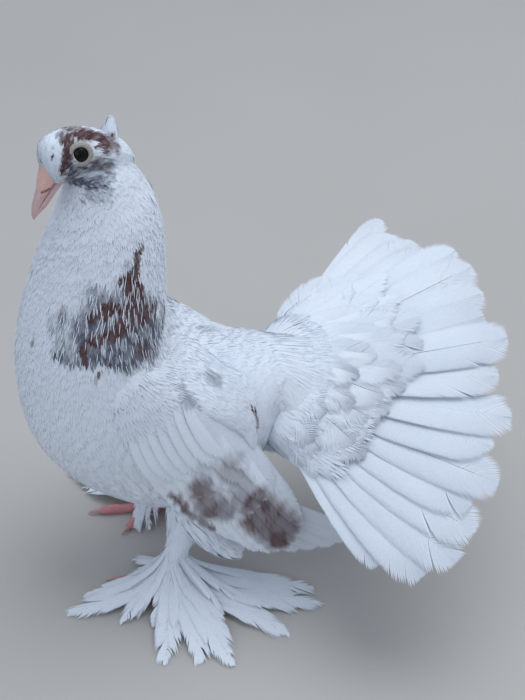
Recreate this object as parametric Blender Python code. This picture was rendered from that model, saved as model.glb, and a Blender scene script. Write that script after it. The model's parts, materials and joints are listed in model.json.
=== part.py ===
"""Indian fantail pigeon, a still, life-size model that stands on its own two feet.

The beak points to -X, the bird's left side is -Y and Z is up. Sizes are in millimetres in the
named values and become metres when a mesh is made. Each sub-part is one closed body.
"""
import math
import random

import bpy
import bmesh
import numpy as np

MM = 0.001
GAP = 0.3
UP = np.array([0.0, 0.0, 1.0])
ACROSS = np.array([0.0, 1.0, 0.0])

# Torso and neck: dorsal x z, ventral x z and half width of each chord, from the rump to the throat.
BODY_CHORDS = (
    (64, 138, 61, 88, 26),
    (53, 140, 49, 68, 35),
    (40, 140.5, 27, 52, 43),
    (27, 142, 0, 46, 48),
    (16, 148, -27, 56, 50),
    (10, 158, -51, 74, 50),
    (7.5, 171, -66, 98, 48),
    (7.5, 185, -71, 128, 45),
    (7.5, 200, -69.5, 157, 40),
    (7.5, 214, -63, 184, 34),
    (6, 227, -55.5, 206, 29),
    (3, 240, -48.5, 224, 24),
    (-2, 251, -44, 238, 19),
    (-8, 259, -40, 249, 13),
)
BODY_SKEW = 0.10
NECK_CHORD = 8.0
BODY_SIDES = 28
TORSO_RINGS = 14
NECK_RINGS = 10

# Head: place of the point between the eyes, and its turn, nod and tilt in degrees.
HEAD_PLACE = (-33.5, -1.0, 265.5)
HEAD_TURN = 25
HEAD_NOD = -18
HEAD_TILT = -17
# Skull stations from the forehead back: x, top z, bottom z and half width, in the head's own frame.
SKULL = (
    (-19.1, 0.0, -7.5, 4.5),
    (-18.0, 5.4, -9.8, 7.6),
    (-15.0, 11.0, -11.5, 9.6),
    (-9.5, 13.6, -12.6, 10.8),
    (-3.0, 13.0, -14.5, 11.3),
    (4.0, 10.6, -17.2, 11.6),
    (11.0, 6.0, -20.0, 11.6),
    (18.0, -0.8, -22.0, 10.6),
    (23.5, -8.6, -21.5, 7.6),
)
SKULL_SIDES = 24
SKULL_ROWS = 15
EYE_SIDE = 7.0
EYE_RADIUS = 5.0
EYE_FORWARD = 14
EYE_SIDES = 14
LID_SIDES = 16
LID_PROFILE = ((3.85, 3.65), (4.3, 4.5), (5.2, 4.4), (6.1, 3.3), (6.2, 2.7), (5.55, 2.05))
SOCKET_PROFILE = (
    (0, -5.3), (2.9, -4.43), (4.6, -2.63), (5.3, 0), (5.36, 1.6), (6.6, 2.15), (6.6, 9), (0, 9),
)

# Bill stations from the head to the tip: x, top z, mouth z, lower z and half width.
BILL = (
    (-13.0, 2.0, -6.4, -13.0, 5.0),
    (-17.0, 0.6, -8.0, -14.0, 4.7),
    (-21.0, -3.2, -10.2, -15.2, 4.0),
    (-25.0, -7.2, -12.4, -16.2, 3.3),
    (-28.5, -10.6, -14.4, -17.0, 2.6),
    (-31.5, -13.9, -16.6, -17.8, 1.9),
    (-33.6, -16.8, -18.2, -18.8, 1.0),
)
BILL_SIDES = 12
BILL_ROWS = 8
CERE_ROWS = 7
CERE_SWELL = 1.0
CERE_END = -23.0
# Height of the cere's lower edge over the mouth line.
CERE_LIFT = 2.2
# Nostril slit: place along the bill, half depth and half height. It drops towards the tip.
NOSTRIL = ((-18.4, 0.2, 0.1), (-20.0, 1.4, 0.42), (-21.8, 1.4, 0.36), (-22.8, 0.2, 0.1))
NOSTRIL_SIDE = 4.2
NOSTRIL_START = (-18.0, -5.4)
NOSTRIL_DROP = 0.72

# Fan of the tail: its virtual centre, the lift of its middle, how far its sides have sunk at the arch's
# own spread, and its roll, in degrees.
FAN_CENTRE = (47.0, 0.0, 114.0)
FAN_LIFT = 5.5
FAN_ARCH = 10.0
FAN_ARCH_SPREAD = 52.0
FAN_ROLL = 16.5
FAN_MIDDLE = -4.5
FAN_HALF = 54.5
# Tips of the tail's feathers: degrees across the fan and distance from its centre.
TAIL_TIPS = (
    (50.5, 146), (45.5, 136), (40.0, 137), (35.0, 135), (30.0, 146), (24.0, 145),
    (16.0, 140), (8.5, 134), (1.0, 141), (-8.0, 133), (-17.0, 140), (-24.5, 134), (-31.0, 143),
    (-37.0, 136), (-42.7, 145), (-48.2, 147), (-53.0, 140), (-58.5, 121),
)
TAIL_MIDDLE = 1.0
OUTER_TAIL = (50.5, -58.5)
OUTER_SHARE = 0.72
TAIL_ROOT = 44.0
TAIL_HALF_WIDTH = 13.0
TAIL_WIDTH_CHANGE = 0.5
# Rise of a tail feather's edge for each degree, so that neighbours pass over each other.
TAIL_TILT = 0.27
TAIL_DROP = 1.0
# Core of the fan: distance from its centre and half thickness. It ends bluntly, with vanes out of it.
TAIL_CORE = ((40, 14.5), (61, 6.8))
# Tiers of coverts on the fan: how many, spread in degrees, root, tip, half width, lift of root and tip.
TAIL_COVERTS = (
    (10, 42, 48, 97, 11.0, 4.3, 4.3),
    (8, 37, 36, 78, 11.0, 6.6, 6.9),
    (7, 42, 48, 86, 12.5, -4.3, -4.3),
)
COVERT_TILT = 0.1
COVERT_TIP_CHANGE = 3.0

# Folded wing. It lies on the flank along an axis that slopes down and back from the shoulder. Each
# station has its place on the axis, its low and high edge across it, and the oval that it bends
# round: middle, half height and half width. The last value is how far it stands out from the oval.
WING_ORIGIN = (0.0, 0.0, 150.0)
WING_SLOPE = 60.0
WING = (
    (-18, -12, -3, -20, 40, 43, 2.0),
    (-8, -24, -2, -22, 42, 46, 3.5),
    (12, -32, 5, -22, 47, 48.5, 5.0),
    (35, -34, 14, -22, 55, 49.5, 5.5),
    (58, -33, 20, -17, 54, 48.5, 5.5),
    (82, -31, 16, -10, 54, 48, 4.5),
    (104, -23, 14, -6, 56, 48.5, 3.0),
    (120, -12, 11, -4, 60, 49, 1.8),
    (127, -4, 6, -4, 60, 49, 1.0),
)
WING_POINTS = 8
WING_CORE_ENDS = (-18, 66)
WING_CORE_RINGS = 7
WING_EDGE = 0.8
WING_BACK = 0.6
WING_ROUND = 0.35
# Tiers of the wing from the edge up: how many, lowest and highest place across the axis, root, tip of
# the middle ones along it, how much sooner the outer ones end, half width, and lift of root and tip.
WING_TIERS = (
    (7, -25, 17, 54, 127, 0.048, 6.3, 1.7, 1.7),
    (7, -26, 18, 52, 95, 0.020, 6.4, 4.2, 4.3),
    (5, -22, 12, 40, 68, 0.014, 7.4, 3.0, 8.0),
    (3, -17, -3, 12, 41, 0.014, 7.2, 3.0, 7.4),
)
WING_TIP_CHANGE = 1.5
# A vane of the wing has its full lift at this share of its length.
WING_LIFTED = 0.62
# Step from a vane to the one beside it.
VANE_STEP = 0.9

# Legs and feet: the foot's centre x y for each side, and where the leg leaves the body.
FEET = {"left": (3.5, -30.0), "right": (-2.0, 34.0)}
FOOT_TURN = {"left": 18.0, "right": 4.0}
THIGH_OFFSET = (9.0, 2.0)
THIGH = ((2, 74, 11.5), (0, 56, 10.5))
SHANK = ((5.5, 38, 6.8), (2, 24, 5.0), (0, 16, 4.6))
ANKLE_HEIGHT = 11.0
ANKLE_RADIUS = 4.8
FOOT_PAD = ((-1, 4.6), (3, 5.2), (7, 4.6), (ANKLE_HEIGHT, 4.4))
# Toe: share of its length, height of its middle over the floor, and radius.
TOE = ((0.0, 4.6, 3.65), (0.28, 3.6, 2.97), (0.55, 2.4, 2.57), (0.78, 2.7, 2.65), (1.0, 1.9, 1.94))
# Toes of the left foot: direction in degrees from the beak's direction towards the inner side, length.
TOES = (("inner", 42, 22), ("middle", -4, 30), ("outer", -46, 23), ("hind", 176, 15))
# Claw: share of its length, height over the toe's end, and radius.
CLAW = ((0, 0.1, 1.45), (0.35, 0.55, 1.2), (0.7, 0.1, 0.85), (1.0, -1.15, 0.25))
CLAW_LENGTH = 7.0
SHORT_CLAWS = {"inner": 0.85, "hind": 0.85}
# Half side of the block that cuts the soles flat.
FLOOR = 60.0

# Primaries of the left wing: where their stack starts and the longest one ends, and how they fan out.
PRIMARY_ROOT = (36.0, -46.5, 82.0)
PRIMARY_TIP = (100.0, -42.0, 36.0)
PRIMARY_COUNT = 5
PRIMARY_FAN = 6.0
PRIMARY_SHORTER = 6.0
PRIMARY_HALF_WIDTH = 8.0
PRIMARY_STEP_ACROSS = 1.5
# Core of their roots: place along the axis, half width, half thickness and place across it.
PRIMARY_CORE = ((-6, 5, 2.2, 1.2), (4, 8, 3.4, -0.8), (16, 9, 3.0, -3.2))

# Muff plumes of each foot: degrees from the beak's direction outward, reach and half width. On the right
# foot, which is ahead, the toes show, and its plumes trail outward and back.
MUFF_PLUMES = {
    "left": (
        (-46, 32, 4.5), (-18, 28, 4.5), (6, 50, 5.5), (18, 61, 7.5), (36, 40, 5.5), (64, 33, 4.0),
        (83, 59, 7.5), (105, 60, 6.5), (115, 69, 7.0), (148, 74, 7.5), (158, 84, 7.5), (171, 78, 8.0),
    ),
    "right": (
        (-70, 22, 4.5), (27, 46, 5.5), (37, 62, 7.5), (49, 60, 7.0), (70, 44, 5.5), (86, 56, 7.0),
        (101, 62, 7.0), (117, 64, 7.0), (134, 50, 6.0), (150, 68, 7.0), (162, 76, 7.5), (174, 72, 6.5),
    ),
}
# Height of a plume's middle over the floor by distance from the foot's centre.
MUFF_FALL = ((4, 15.5), (10, 12.6), (20, 9.4), (30, 6.8), (45, 4.2), (60, 2.6), (90, 1.2))
MUFF_TIP = 0.9
MUFF_LEVEL = 0.95
MUFF_LEVELS = 3
MUFF_TURN_CHANGE = 2.0
MUFF_COLLAR = ((8.2, 5.8), (11, 8.8), (17, 8.2), (21, 5.6))

# Crest locks: how many, half width of the row of roots and of the tips, and their half width.
CREST_LOCKS = 6
CREST_ROOTS = 4.0
CREST_TIPS = 3.0
CREST_HALF_WIDTH = 2.2
CREST_FROM = (18.4, 0.0, -4.0)
CREST_TO = (23.6, 0.0, 4.2)
CREST_PEAK = 2.5
CREST_CURL = 1.4
CREST_STEP = 0.9
CREST_TIP_CHANGE = 0.6
# Core of the crest: share of the way to its tip, half width and half depth.
CREST_CORE = ((-0.25, 6.4, 3.6), (0.1, 5.6, 3.0), (0.42, 3.8, 1.8))

# Feather outlines: place along the vane and width there as a share of its widest.
QUILL = ((0, 0.32), (0.36, 0.72), (0.72, 1.0), (0.91, 0.86), (1.0, 0.42))
COVERT = ((0, 0.45), (0.45, 0.95), (0.84, 0.9), (1.0, 0.42))
SCALE = ((0, 0.5), (0.62, 1.0), (1.0, 0.5))
PLUME = ((0, 0.3), (0.42, 0.95), (0.84, 0.82), (1.0, 0.25))
LOCK = ((0, 1.0), (0.5, 0.85), (1.0, 0.25))
VANE_THICK = 0.52
SHAFT = 0.12
TIP_ROUND = 0.035
SEED = 5


def to_points(rows):
    return np.asarray(rows, dtype=float)


def along(rows, t):
    """Row at place t, from 0 to the last index, on a Catmull-Rom curve through the rows."""
    rows = to_points(rows)
    last = len(rows) - 1
    i = min(max(int(math.floor(t)), 0), last - 1)
    f = t - i
    p0 = rows[max(i - 1, 0)]
    p1 = rows[i]
    p2 = rows[i + 1]
    p3 = rows[min(i + 2, last)]
    return 0.5 * (2 * p1 + (p2 - p0) * f + (2 * p0 - 5 * p1 + 4 * p2 - p3) * f * f
                  + (3 * p1 - p0 - 3 * p2 + p3) * f ** 3)


def unit(v):
    v = to_points(v)
    return v / np.linalg.norm(v)


def mesh_object(name, points, faces):
    """Object of points in mm. Its faces are turned outward."""
    mesh = bpy.data.meshes.new(name)
    mesh.from_pydata([tuple(p * MM) for p in to_points(points)], [], faces)
    shape = bmesh.new()
    shape.from_mesh(mesh)
    bmesh.ops.recalc_face_normals(shape, faces=shape.faces)
    bmesh.ops.triangulate(shape, faces=shape.faces)
    if shape.calc_volume(signed=True) < 0:
        bmesh.ops.reverse_faces(shape, faces=shape.faces)
    shape.to_mesh(mesh)
    shape.free()
    piece = bpy.data.objects.new(name, mesh)
    bpy.context.scene.collection.objects.link(piece)
    return piece


def loft(name, rings, ladder=False):
    """Closed body through rings of equal count. Each end is closed by a fan to its middle, or by rungs
    from the ring's first half to its second where the ring is long and thin."""
    rings = [to_points(r) for r in rings]
    n = len(rings[0])
    points = np.vstack(rings + [rings[0].mean(0)[None], rings[-1].mean(0)[None]])
    faces = []
    for k in range(len(rings) - 1):
        for j in range(n):
            a = k * n + j
            b = k * n + (j + 1) % n
            faces.append((a, b, b + n))
            faces.append((a, b + n, a + n))
    first = len(points) - 2
    base = (len(rings) - 1) * n
    if ladder:
        for j in range(n // 2 - 1):
            faces.append((j, j + 1, n - 2 - j, n - 1 - j))
            faces.append((base + j, base + n - 1 - j, base + n - 2 - j, base + j + 1))
        return mesh_object(name, points[:-2], faces)
    for j in range(n):
        faces.append((first, (j + 1) % n, j))
        faces.append((first + 1, base + j, base + (j + 1) % n))
    return mesh_object(name, points, faces)


def vane(at, half_width, outline, columns=3):
    """Thin closed feather, split alike on both faces. The function at gives a point of it from its share
    along the feather, its place across and its lift."""
    sides = np.linspace(-1, 1, columns)
    points = []
    for share, wide in outline:
        half = VANE_THICK * (1 - 0.5 * share ** 4) / 2
        for face in (1, -1):
            for v in sides:
                shaft = SHAFT * (1 - share) if v == 0 and face > 0 else 0.0
                back = TIP_ROUND * v * v if share == 1 else 0.0
                points.append(at(share - back, v * wide * half_width, face * half + shaft))
    faces = []
    row = 2 * columns
    for k in range(len(outline) - 1):
        for j in range(columns - 1):
            for a, b in ((j, j + 1), (columns + j, columns + j + 1)):
                faces.append((k * row + a, k * row + b, (k + 1) * row + b))
                faces.append((k * row + a, (k + 1) * row + b, (k + 1) * row + a))
        for a, b in ((0, columns), (columns - 1, 2 * columns - 1)):
            faces.append((k * row + a, k * row + b, (k + 1) * row + b))
            faces.append((k * row + a, (k + 1) * row + b, (k + 1) * row + a))
    for k in (0, len(outline) - 1):
        for j in range(columns - 1):
            a, b, c, d = (k * row + n for n in (j, j + 1, columns + j + 1, columns + j))
            faces.append((a, b, c))
            faces.append((a, c, d))
    return mesh_object("vane", points, faces)


def turned(name, profile, centre, axis, sides=20, ring=False):
    """Profile of radius and place along the axis, turned about it. A ring profile closes on itself."""
    axis = unit(axis)
    side = unit(np.cross(axis, UP if abs(axis[2]) < 0.9 else ACROSS))
    other = np.cross(axis, side)
    centre = to_points(centre)
    points = []
    rows = []
    for radius, place in profile:
        row = []
        for k in range(1 if radius == 0 else sides):
            turn = 2 * math.pi * k / sides
            row.append(len(points))
            points.append(centre + axis * place + radius * (side * math.cos(turn) + other * math.sin(turn)))
        rows.append(row)
    faces = []
    pairs = list(zip(rows, rows[1:] + rows[:1])) if ring else list(zip(rows, rows[1:]))
    for lower, upper in pairs:
        for k in range(sides):
            a = lower[k % len(lower)]
            b = lower[(k + 1) % len(lower)]
            c = upper[(k + 1) % len(upper)]
            d = upper[k % len(upper)]
            if a != b:
                faces.append((a, b, c))
            if c != d:
                faces.append((a, c, d))
    return mesh_object(name, points, faces)


def grown(source, distance):
    """Copy of a body with its surface moved out by a distance, for cutting a neighbour clear of it."""
    mesh = source.data.copy()
    places = [v.co + v.normal * distance * MM for v in mesh.vertices]
    for vertex, place in zip(mesh.vertices, places):
        vertex.co = place
    copy = bpy.data.objects.new(source.name + "_grown", mesh)
    bpy.context.scene.collection.objects.link(copy)
    return copy


def combine(base, others, operation, solver="MANIFOLD"):
    """One Boolean on a collection of closed meshes, applied, after which the meshes are removed."""
    group = bpy.data.collections.new("pieces")
    bpy.context.scene.collection.children.link(group)
    for other in others:
        for owner in list(other.users_collection):
            owner.objects.unlink(other)
        group.objects.link(other)
    modifier = base.modifiers.new("combine", "BOOLEAN")
    modifier.operation = operation
    modifier.operand_type = "COLLECTION"
    modifier.collection = group
    modifier.solver = solver
    depsgraph = bpy.context.evaluated_depsgraph_get()
    depsgraph.update()
    mesh = bpy.data.meshes.new_from_object(base.evaluated_get(depsgraph))
    base.modifiers.clear()
    base.data = mesh
    for other in others:
        bpy.data.objects.remove(other)
    bpy.data.collections.remove(group)
    keep_largest(base)
    return base


def keep_largest(piece):
    """Only the largest closed surface stays, so a sealed hollow is filled and a scrap is dropped."""
    shape = bmesh.new()
    shape.from_mesh(piece.data)
    left = set(shape.faces)
    islands = []
    while left:
        seed = left.pop()
        island = [seed]
        stack = [seed]
        while stack:
            face = stack.pop()
            for edge in face.edges:
                for near in edge.link_faces:
                    if near in left:
                        left.remove(near)
                        island.append(near)
                        stack.append(near)
        islands.append(island)
    islands.sort(key=lambda island: sum(f.calc_area() for f in island))
    for island in islands[:-1]:
        bmesh.ops.delete(shape, geom=island, context="FACES")
    bmesh.ops.triangulate(shape, faces=shape.faces)
    shape.to_mesh(piece.data)
    shape.free()


def clear_of(piece, neighbours, distance=GAP + 0.03):
    """Cuts a piece clear of its neighbours by the gap."""
    return combine(piece, [grown(n, distance) for n in neighbours], "DIFFERENCE")


def finish(piece, colour, roughness):
    """Names the node's material and shades its round forms smooth."""
    material = bpy.data.materials.new(piece.name)
    material.use_nodes = True
    shader = material.node_tree.nodes["Principled BSDF"]
    shader.inputs["Base Color"].default_value = (*colour, 1)
    shader.inputs["Roughness"].default_value = roughness
    piece.data.materials.clear()
    piece.data.materials.append(material)
    piece.data.shade_smooth()
    piece.data.set_sharp_from_angle(angle=math.radians(40))
    return piece


WHITE = (0.80, 0.84, 0.90)
FLESH = (0.72, 0.48, 0.45)
TOE_RED = (0.62, 0.18, 0.20)
CLAW_PINK = (0.60, 0.42, 0.42)
EYE_DARK = (0.01, 0.01, 0.012)
LID_GREY = (0.62, 0.57, 0.53)


def body_ring(t, grow=0.0, shift=0.0):
    """Ring of the torso and neck at chord t, moved along the body by a shift."""
    dx, dz, vx, vz, half_width = along(BODY_CHORDS, t)
    dorsal = np.array([dx, 0, dz])
    ventral = np.array([vx, 0, vz])
    middle = (dorsal + ventral) / 2
    up = unit(dorsal - ventral)
    ahead = np.cross(up, ACROSS)
    half_depth = np.linalg.norm(dorsal - ventral) / 2
    ring = []
    for k in range(BODY_SIDES):
        a = 2 * math.pi * k / BODY_SIDES
        wide = (half_width + grow) * math.sin(a) * (1 + BODY_SKEW * math.cos(a))
        ring.append(middle + up * (half_depth + grow) * math.cos(a) + ACROSS * wide + ahead * shift)
    return np.array(ring)


def make_torso():
    return loft("torso", [body_ring(t) for t in np.linspace(0, NECK_CHORD, TORSO_RINGS)])


def make_neck(head):
    rings = [body_ring(NECK_CHORD, shift=GAP)]
    rings += [body_ring(t) for t in np.linspace(NECK_CHORD, len(BODY_CHORDS) - 1, NECK_RINGS)[1:]]
    return clear_of(loft("neck", rings), [head])


def head_axes():
    """Columns are the head's own X, Y and Z in the world."""
    turn, nod, tilt = (math.radians(v) for v in (HEAD_TURN, HEAD_NOD, HEAD_TILT))
    cz, sz = math.cos(turn), math.sin(turn)
    cy, sy = math.cos(nod), math.sin(nod)
    cx, sx = math.cos(tilt), math.sin(tilt)
    about_z = np.array([[cz, -sz, 0], [sz, cz, 0], [0, 0, 1]])
    about_y = np.array([[cy, 0, sy], [0, 1, 0], [-sy, 0, cy]])
    about_x = np.array([[1, 0, 0], [0, cx, -sx], [0, sx, cx]])
    return about_z @ about_y @ about_x


def head_place(points):
    return to_points(points) @ head_axes().T + to_points(HEAD_PLACE)


def skull_ring(x, top, bottom, half_width):
    middle = (top + bottom) / 2
    half = (top - bottom) / 2
    ring = []
    for k in range(SKULL_SIDES):
        a = 2 * math.pi * k / SKULL_SIDES
        ring.append((x, half_width * math.sin(a), middle + half * math.cos(a)))
    return head_place(ring)


def make_head():
    rings = [skull_ring(*along(SKULL, t)) for t in np.linspace(0, len(SKULL) - 1, SKULL_ROWS)]
    return loft("head", rings)


def eye_frame(side):
    """Centre and outward axis of an eye. The side is -1 for the left and 1 for the right."""
    look = math.radians(EYE_FORWARD)
    centre = head_place([(0, side * EYE_SIDE, 0)])[0]
    axis = head_axes() @ np.array([-math.sin(look), side * math.cos(look), 0.03])
    return centre, unit(axis)


def make_eye(name, side):
    centre, axis = eye_frame(side)
    profile = [(0, -EYE_RADIUS)]
    for k in range(1, 8):
        a = math.pi * k / 8 - math.pi / 2
        profile.append((EYE_RADIUS * math.cos(a), EYE_RADIUS * math.sin(a)))
    profile.append((0, EYE_RADIUS))
    return turned(name, profile, centre, axis, EYE_SIDES)


def make_eyelid(name, side):
    centre, axis = eye_frame(side)
    return turned(name, LID_PROFILE, centre, axis, LID_SIDES, ring=True)


def make_socket(side):
    centre, axis = eye_frame(side)
    return turned("socket", SOCKET_PROFILE, centre, axis, LID_SIDES)


def bill_ring(x, top, bottom, half_width):
    middle = (top + bottom) / 2
    half = (top - bottom) / 2
    ring = []
    for k in range(BILL_SIDES):
        a = 2 * math.pi * (k + 0.5) / BILL_SIDES
        ring.append((x, half_width * math.sin(a), middle + half * math.cos(a)))
    return head_place(ring)


def make_bill(head):
    """Upper and lower mandible with the mouth line between them, and the cere with its nostrils."""
    rows = [along(BILL, t) for t in np.linspace(0, len(BILL) - 1, BILL_ROWS)]
    upper = loft("beak_upper", [bill_ring(x, top, mouth, half) for x, top, mouth, low, half in rows])
    swollen = []
    for t in np.linspace(0, 1, CERE_ROWS):
        x = BILL[0][0] + (CERE_END - BILL[0][0]) * t
        place = np.interp(-x, [-r[0] for r in rows], range(len(rows)))
        _, top, mouth, low, half = along(rows, place)
        bulge = CERE_SWELL * math.sin(math.pi * min(t * 0.62 + 0.25, 1.0)) if t < 1 else 0.0
        wide = (half + bulge * 0.9) * (1 - 0.35 * t ** 6)
        swollen.append(bill_ring(x, top + bulge, mouth + CERE_LIFT, wide))
    cere = loft("cere", swollen)
    clear_of(cere, [head])
    combine(cere, [make_nostril(-1), make_nostril(1)], "DIFFERENCE")
    clear_of(upper, [head, cere])
    under = [bill_ring(x, mouth - GAP, low, half * 0.9) for x, top, mouth, low, half in rows[:-1]]
    lower = loft("beak_lower", under)
    clear_of(lower, [head, upper, cere])
    return upper, lower, cere


def fan_point(radius, azimuth, lift=0.0):
    """Point of the tail's fan. The azimuth is negative on the bird's left."""
    a = math.radians(azimuth)
    rise = math.radians(FAN_LIFT - FAN_ARCH * (azimuth / FAN_ARCH_SPREAD) ** 2 + FAN_ROLL * math.sin(a))
    out = np.array([math.cos(rise) * math.cos(a), math.cos(rise) * math.sin(a), math.sin(rise)])
    over = np.array([-math.sin(rise) * math.cos(a), -math.sin(rise) * math.sin(a), math.cos(rise)])
    return to_points(FAN_CENTRE) + out * radius + over * lift


def fan_ring(radius, thick, half=BODY_SIDES // 2):
    """Closed ring across the fan: the upper side from right to left, then the lower side back."""
    ring = []
    for k in range(2 * half):
        a = math.pi * (k + 0.5) / half
        ring.append(fan_point(radius, FAN_MIDDLE + FAN_HALF * math.cos(a), thick * math.sin(a)))
    return np.array(ring)


def tail_vane(azimuth, tilt, root, tip, half_width, root_lift, tip_lift, outline, columns):
    """Feather of the fan along one azimuth. The tilt raises one edge for each degree across."""
    def at(share, across, lift):
        radius = root + (tip - root) * share
        degrees = math.degrees(across / radius)
        base = root_lift + (tip_lift - root_lift) * share
        return fan_point(radius, azimuth + degrees, base + tilt * degrees + lift)
    return vane(at, half_width, outline, columns)


def make_tail(chance):
    """Core of the fan with the tail feathers, each under its inner neighbour, and tiers of coverts."""
    start = body_ring(0, shift=-GAP)
    order = [start[(BODY_SIDES // 4 - k) % BODY_SIDES] for k in range(BODY_SIDES)]
    rings = [np.array(order)] + [fan_ring(radius, thick) for radius, thick in TAIL_CORE]
    tail = loft("tail", rings, ladder=True)
    feathers = []
    for azimuth, tip in TAIL_TIPS:
        outer = 0 if azimuth == TAIL_MIDDLE else math.copysign(1, azimuth - TAIL_MIDDLE)
        lift = {-1: -TAIL_DROP / 2, 0: TAIL_DROP, 1: -TAIL_DROP}[outer]
        half_width = TAIL_HALF_WIDTH * (OUTER_SHARE if azimuth in OUTER_TAIL else 1)
        half_width += chance.uniform(-1, 1) * TAIL_WIDTH_CHANGE
        feathers.append(tail_vane(azimuth, outer * TAIL_TILT, TAIL_ROOT, tip, half_width,
                                  lift, lift, QUILL, 3))
    for count, spread, root, tip, half_width, root_lift, tip_lift in TAIL_COVERTS:
        for k in range(count):
            azimuth = FAN_MIDDLE + spread * (2 * k / (count - 1) - 1)
            outer = math.copysign(1, (azimuth - FAN_MIDDLE) * tip_lift)
            end = tip + chance.uniform(-1, 1) * COVERT_TIP_CHANGE
            feathers.append(tail_vane(azimuth, outer * COVERT_TILT, root, end, half_width,
                                      root_lift, tip_lift, COVERT, 2))
    return combine(tail, feathers, "UNION")


def wing_point(row, across, lift, side):
    """Point of the wing at a place across its axis, lifted out from the oval that it bends round."""
    place, low, high, middle, half_height, half_width, stand = row
    slope = math.radians(WING_SLOPE)
    axis = np.array([math.cos(slope), 0, -math.sin(slope)])
    wide = np.array([math.sin(slope), 0, math.cos(slope)])
    a = math.asin(min(max((across - middle) / half_height, -0.98), 0.98))
    normal = unit(wide * math.sin(a) / half_height - ACROSS * math.cos(a) / half_width)
    p = to_points(WING_ORIGIN) + axis * place + wide * across - ACROSS * half_width * math.cos(a)
    p = p + normal * lift
    return np.array([p[0], -side * p[1], p[2]])


def wing_row(place):
    """Station of the wing at a place along its axis."""
    return along(WING, np.interp(place, [row[0] for row in WING], range(len(WING))))


def wing_cover(row, across):
    """How far the wing's core stands out from the oval at a place across it."""
    share = min(max((across - row[1]) / (row[2] - row[1]), 0.0), 1.0)
    return WING_EDGE + row[6] * math.sin(math.pi * share) ** WING_ROUND


def wing_ring(place, side):
    row = wing_row(place)
    low, high = row[1], row[2]
    outer = []
    inner = []
    for across in np.linspace(low, high, WING_POINTS):
        outer.append(wing_point(row, across, wing_cover(row, across), side))
        inner.append(wing_point(row, across, -WING_BACK, side))
    return np.array(outer + inner[::-1])


def wing_vane(side, across, root, tip, half_width, step, root_lift, tip_lift, outline):
    """Feather of the folded wing, rooted in the core, with its upper edge under its neighbour."""
    def at(share, wide, lift):
        place = root + (tip - root) * share
        base = root_lift + (tip_lift - root_lift) * min(share / WING_LIFTED, 1.0)
        return wing_point(wing_row(place), across + wide, base - step * wide + lift, side)
    return vane(at, half_width, outline, 2)


def make_wing(name, side, neighbours, chance):
    """Core of the wing on the flank, with tiers from the secondaries up to the lesser coverts."""
    places = np.linspace(*WING_CORE_ENDS, WING_CORE_RINGS)
    wing = loft(name, [wing_ring(p, side) for p in places], ladder=True)
    feathers = []
    for count, low, high, root, reach, shorter, half_width, root_lift, tip_lift in WING_TIERS:
        spacing = (high - low) / (count - 1)
        for k in range(count):
            across = low + spacing * k
            tip = reach - shorter * across ** 2 + chance.uniform(-1, 1) * WING_TIP_CHANGE
            feathers.append(wing_vane(side, across, root, tip, half_width, VANE_STEP / spacing,
                                      root_lift, tip_lift, COVERT if tip_lift < 5 else SCALE))
    combine(wing, feathers, "UNION")
    return clear_of(wing, neighbours)


def make_primaries(name, side, wing):
    """Stack of the primaries past the wing's end. Each is under the one above it and shorter."""
    root = to_points(PRIMARY_ROOT)
    axis = unit(to_points(PRIMARY_TIP) - root)
    length = np.linalg.norm(to_points(PRIMARY_TIP) - root)
    out = unit(np.array([0.0, -1.0, 0.0]) + axis * axis[1])
    wide = np.cross(out, axis)

    def place(ahead, across, lift):
        p = root + axis * ahead + wide * across + out * lift
        return np.array([p[0], -side * p[1], p[2]])

    def primary_vane(k):
        turn = math.radians(PRIMARY_FAN * k)

        def at(share, across, lift):
            ahead = (length - PRIMARY_SHORTER * k) * share
            across = across - PRIMARY_STEP_ACROSS * k
            return place(ahead * math.cos(turn) + across * math.sin(turn),
                         across * math.cos(turn) - ahead * math.sin(turn), lift - VANE_STEP * k)
        return vane(at, PRIMARY_HALF_WIDTH, QUILL)

    rings = []
    middle = -VANE_STEP * (PRIMARY_COUNT - 1) / 2
    for ahead, half_width, half_thick, across in PRIMARY_CORE:
        ring = []
        for k in range(10):
            a = 2 * math.pi * k / 10
            ring.append(place(ahead, across + half_width * math.cos(a), middle + half_thick * math.sin(a)))
        rings.append(ring)
    primaries = combine(loft(name, rings), [primary_vane(k) for k in range(PRIMARY_COUNT)], "UNION")
    return clear_of(primaries, [wing])


def round_ring(centre, axis, radius, sides):
    axis = unit(axis)
    side = unit(np.cross(axis, ACROSS if abs(axis[1]) < 0.9 else UP))
    other = np.cross(axis, side)
    ring = []
    for k in range(sides):
        a = 2 * math.pi * k / sides
        ring.append(to_points(centre) + (side * math.cos(a) + other * math.sin(a)) * radius)
    return np.array(ring)


def tube(name, path, radii, sides=12):
    """Round body along a path of points, with a radius at each."""
    path = to_points(path)
    rings = []
    for k, p in enumerate(path):
        axis = path[min(k + 1, len(path) - 1)] - path[max(k - 1, 0)]
        rings.append(round_ring(p, axis, radii[k], sides))
    return loft(name, rings)


def make_leg(side_name, torso):
    x, y = FEET[side_name]
    out = math.copysign(1, y)
    hip_x = x + THIGH_OFFSET[0]
    hip_y = y - out * THIGH_OFFSET[1]
    path = [(hip_x + back, hip_y, z) for back, z, _ in THIGH]
    path += [(x + back, y, z) for back, z, _ in SHANK]
    path.append((x, y, ANKLE_HEIGHT + GAP))
    radii = [r for _, _, r in THIGH + SHANK] + [ANKLE_RADIUS]
    return clear_of(tube("leg_" + side_name, path, radii), [torso])


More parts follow.
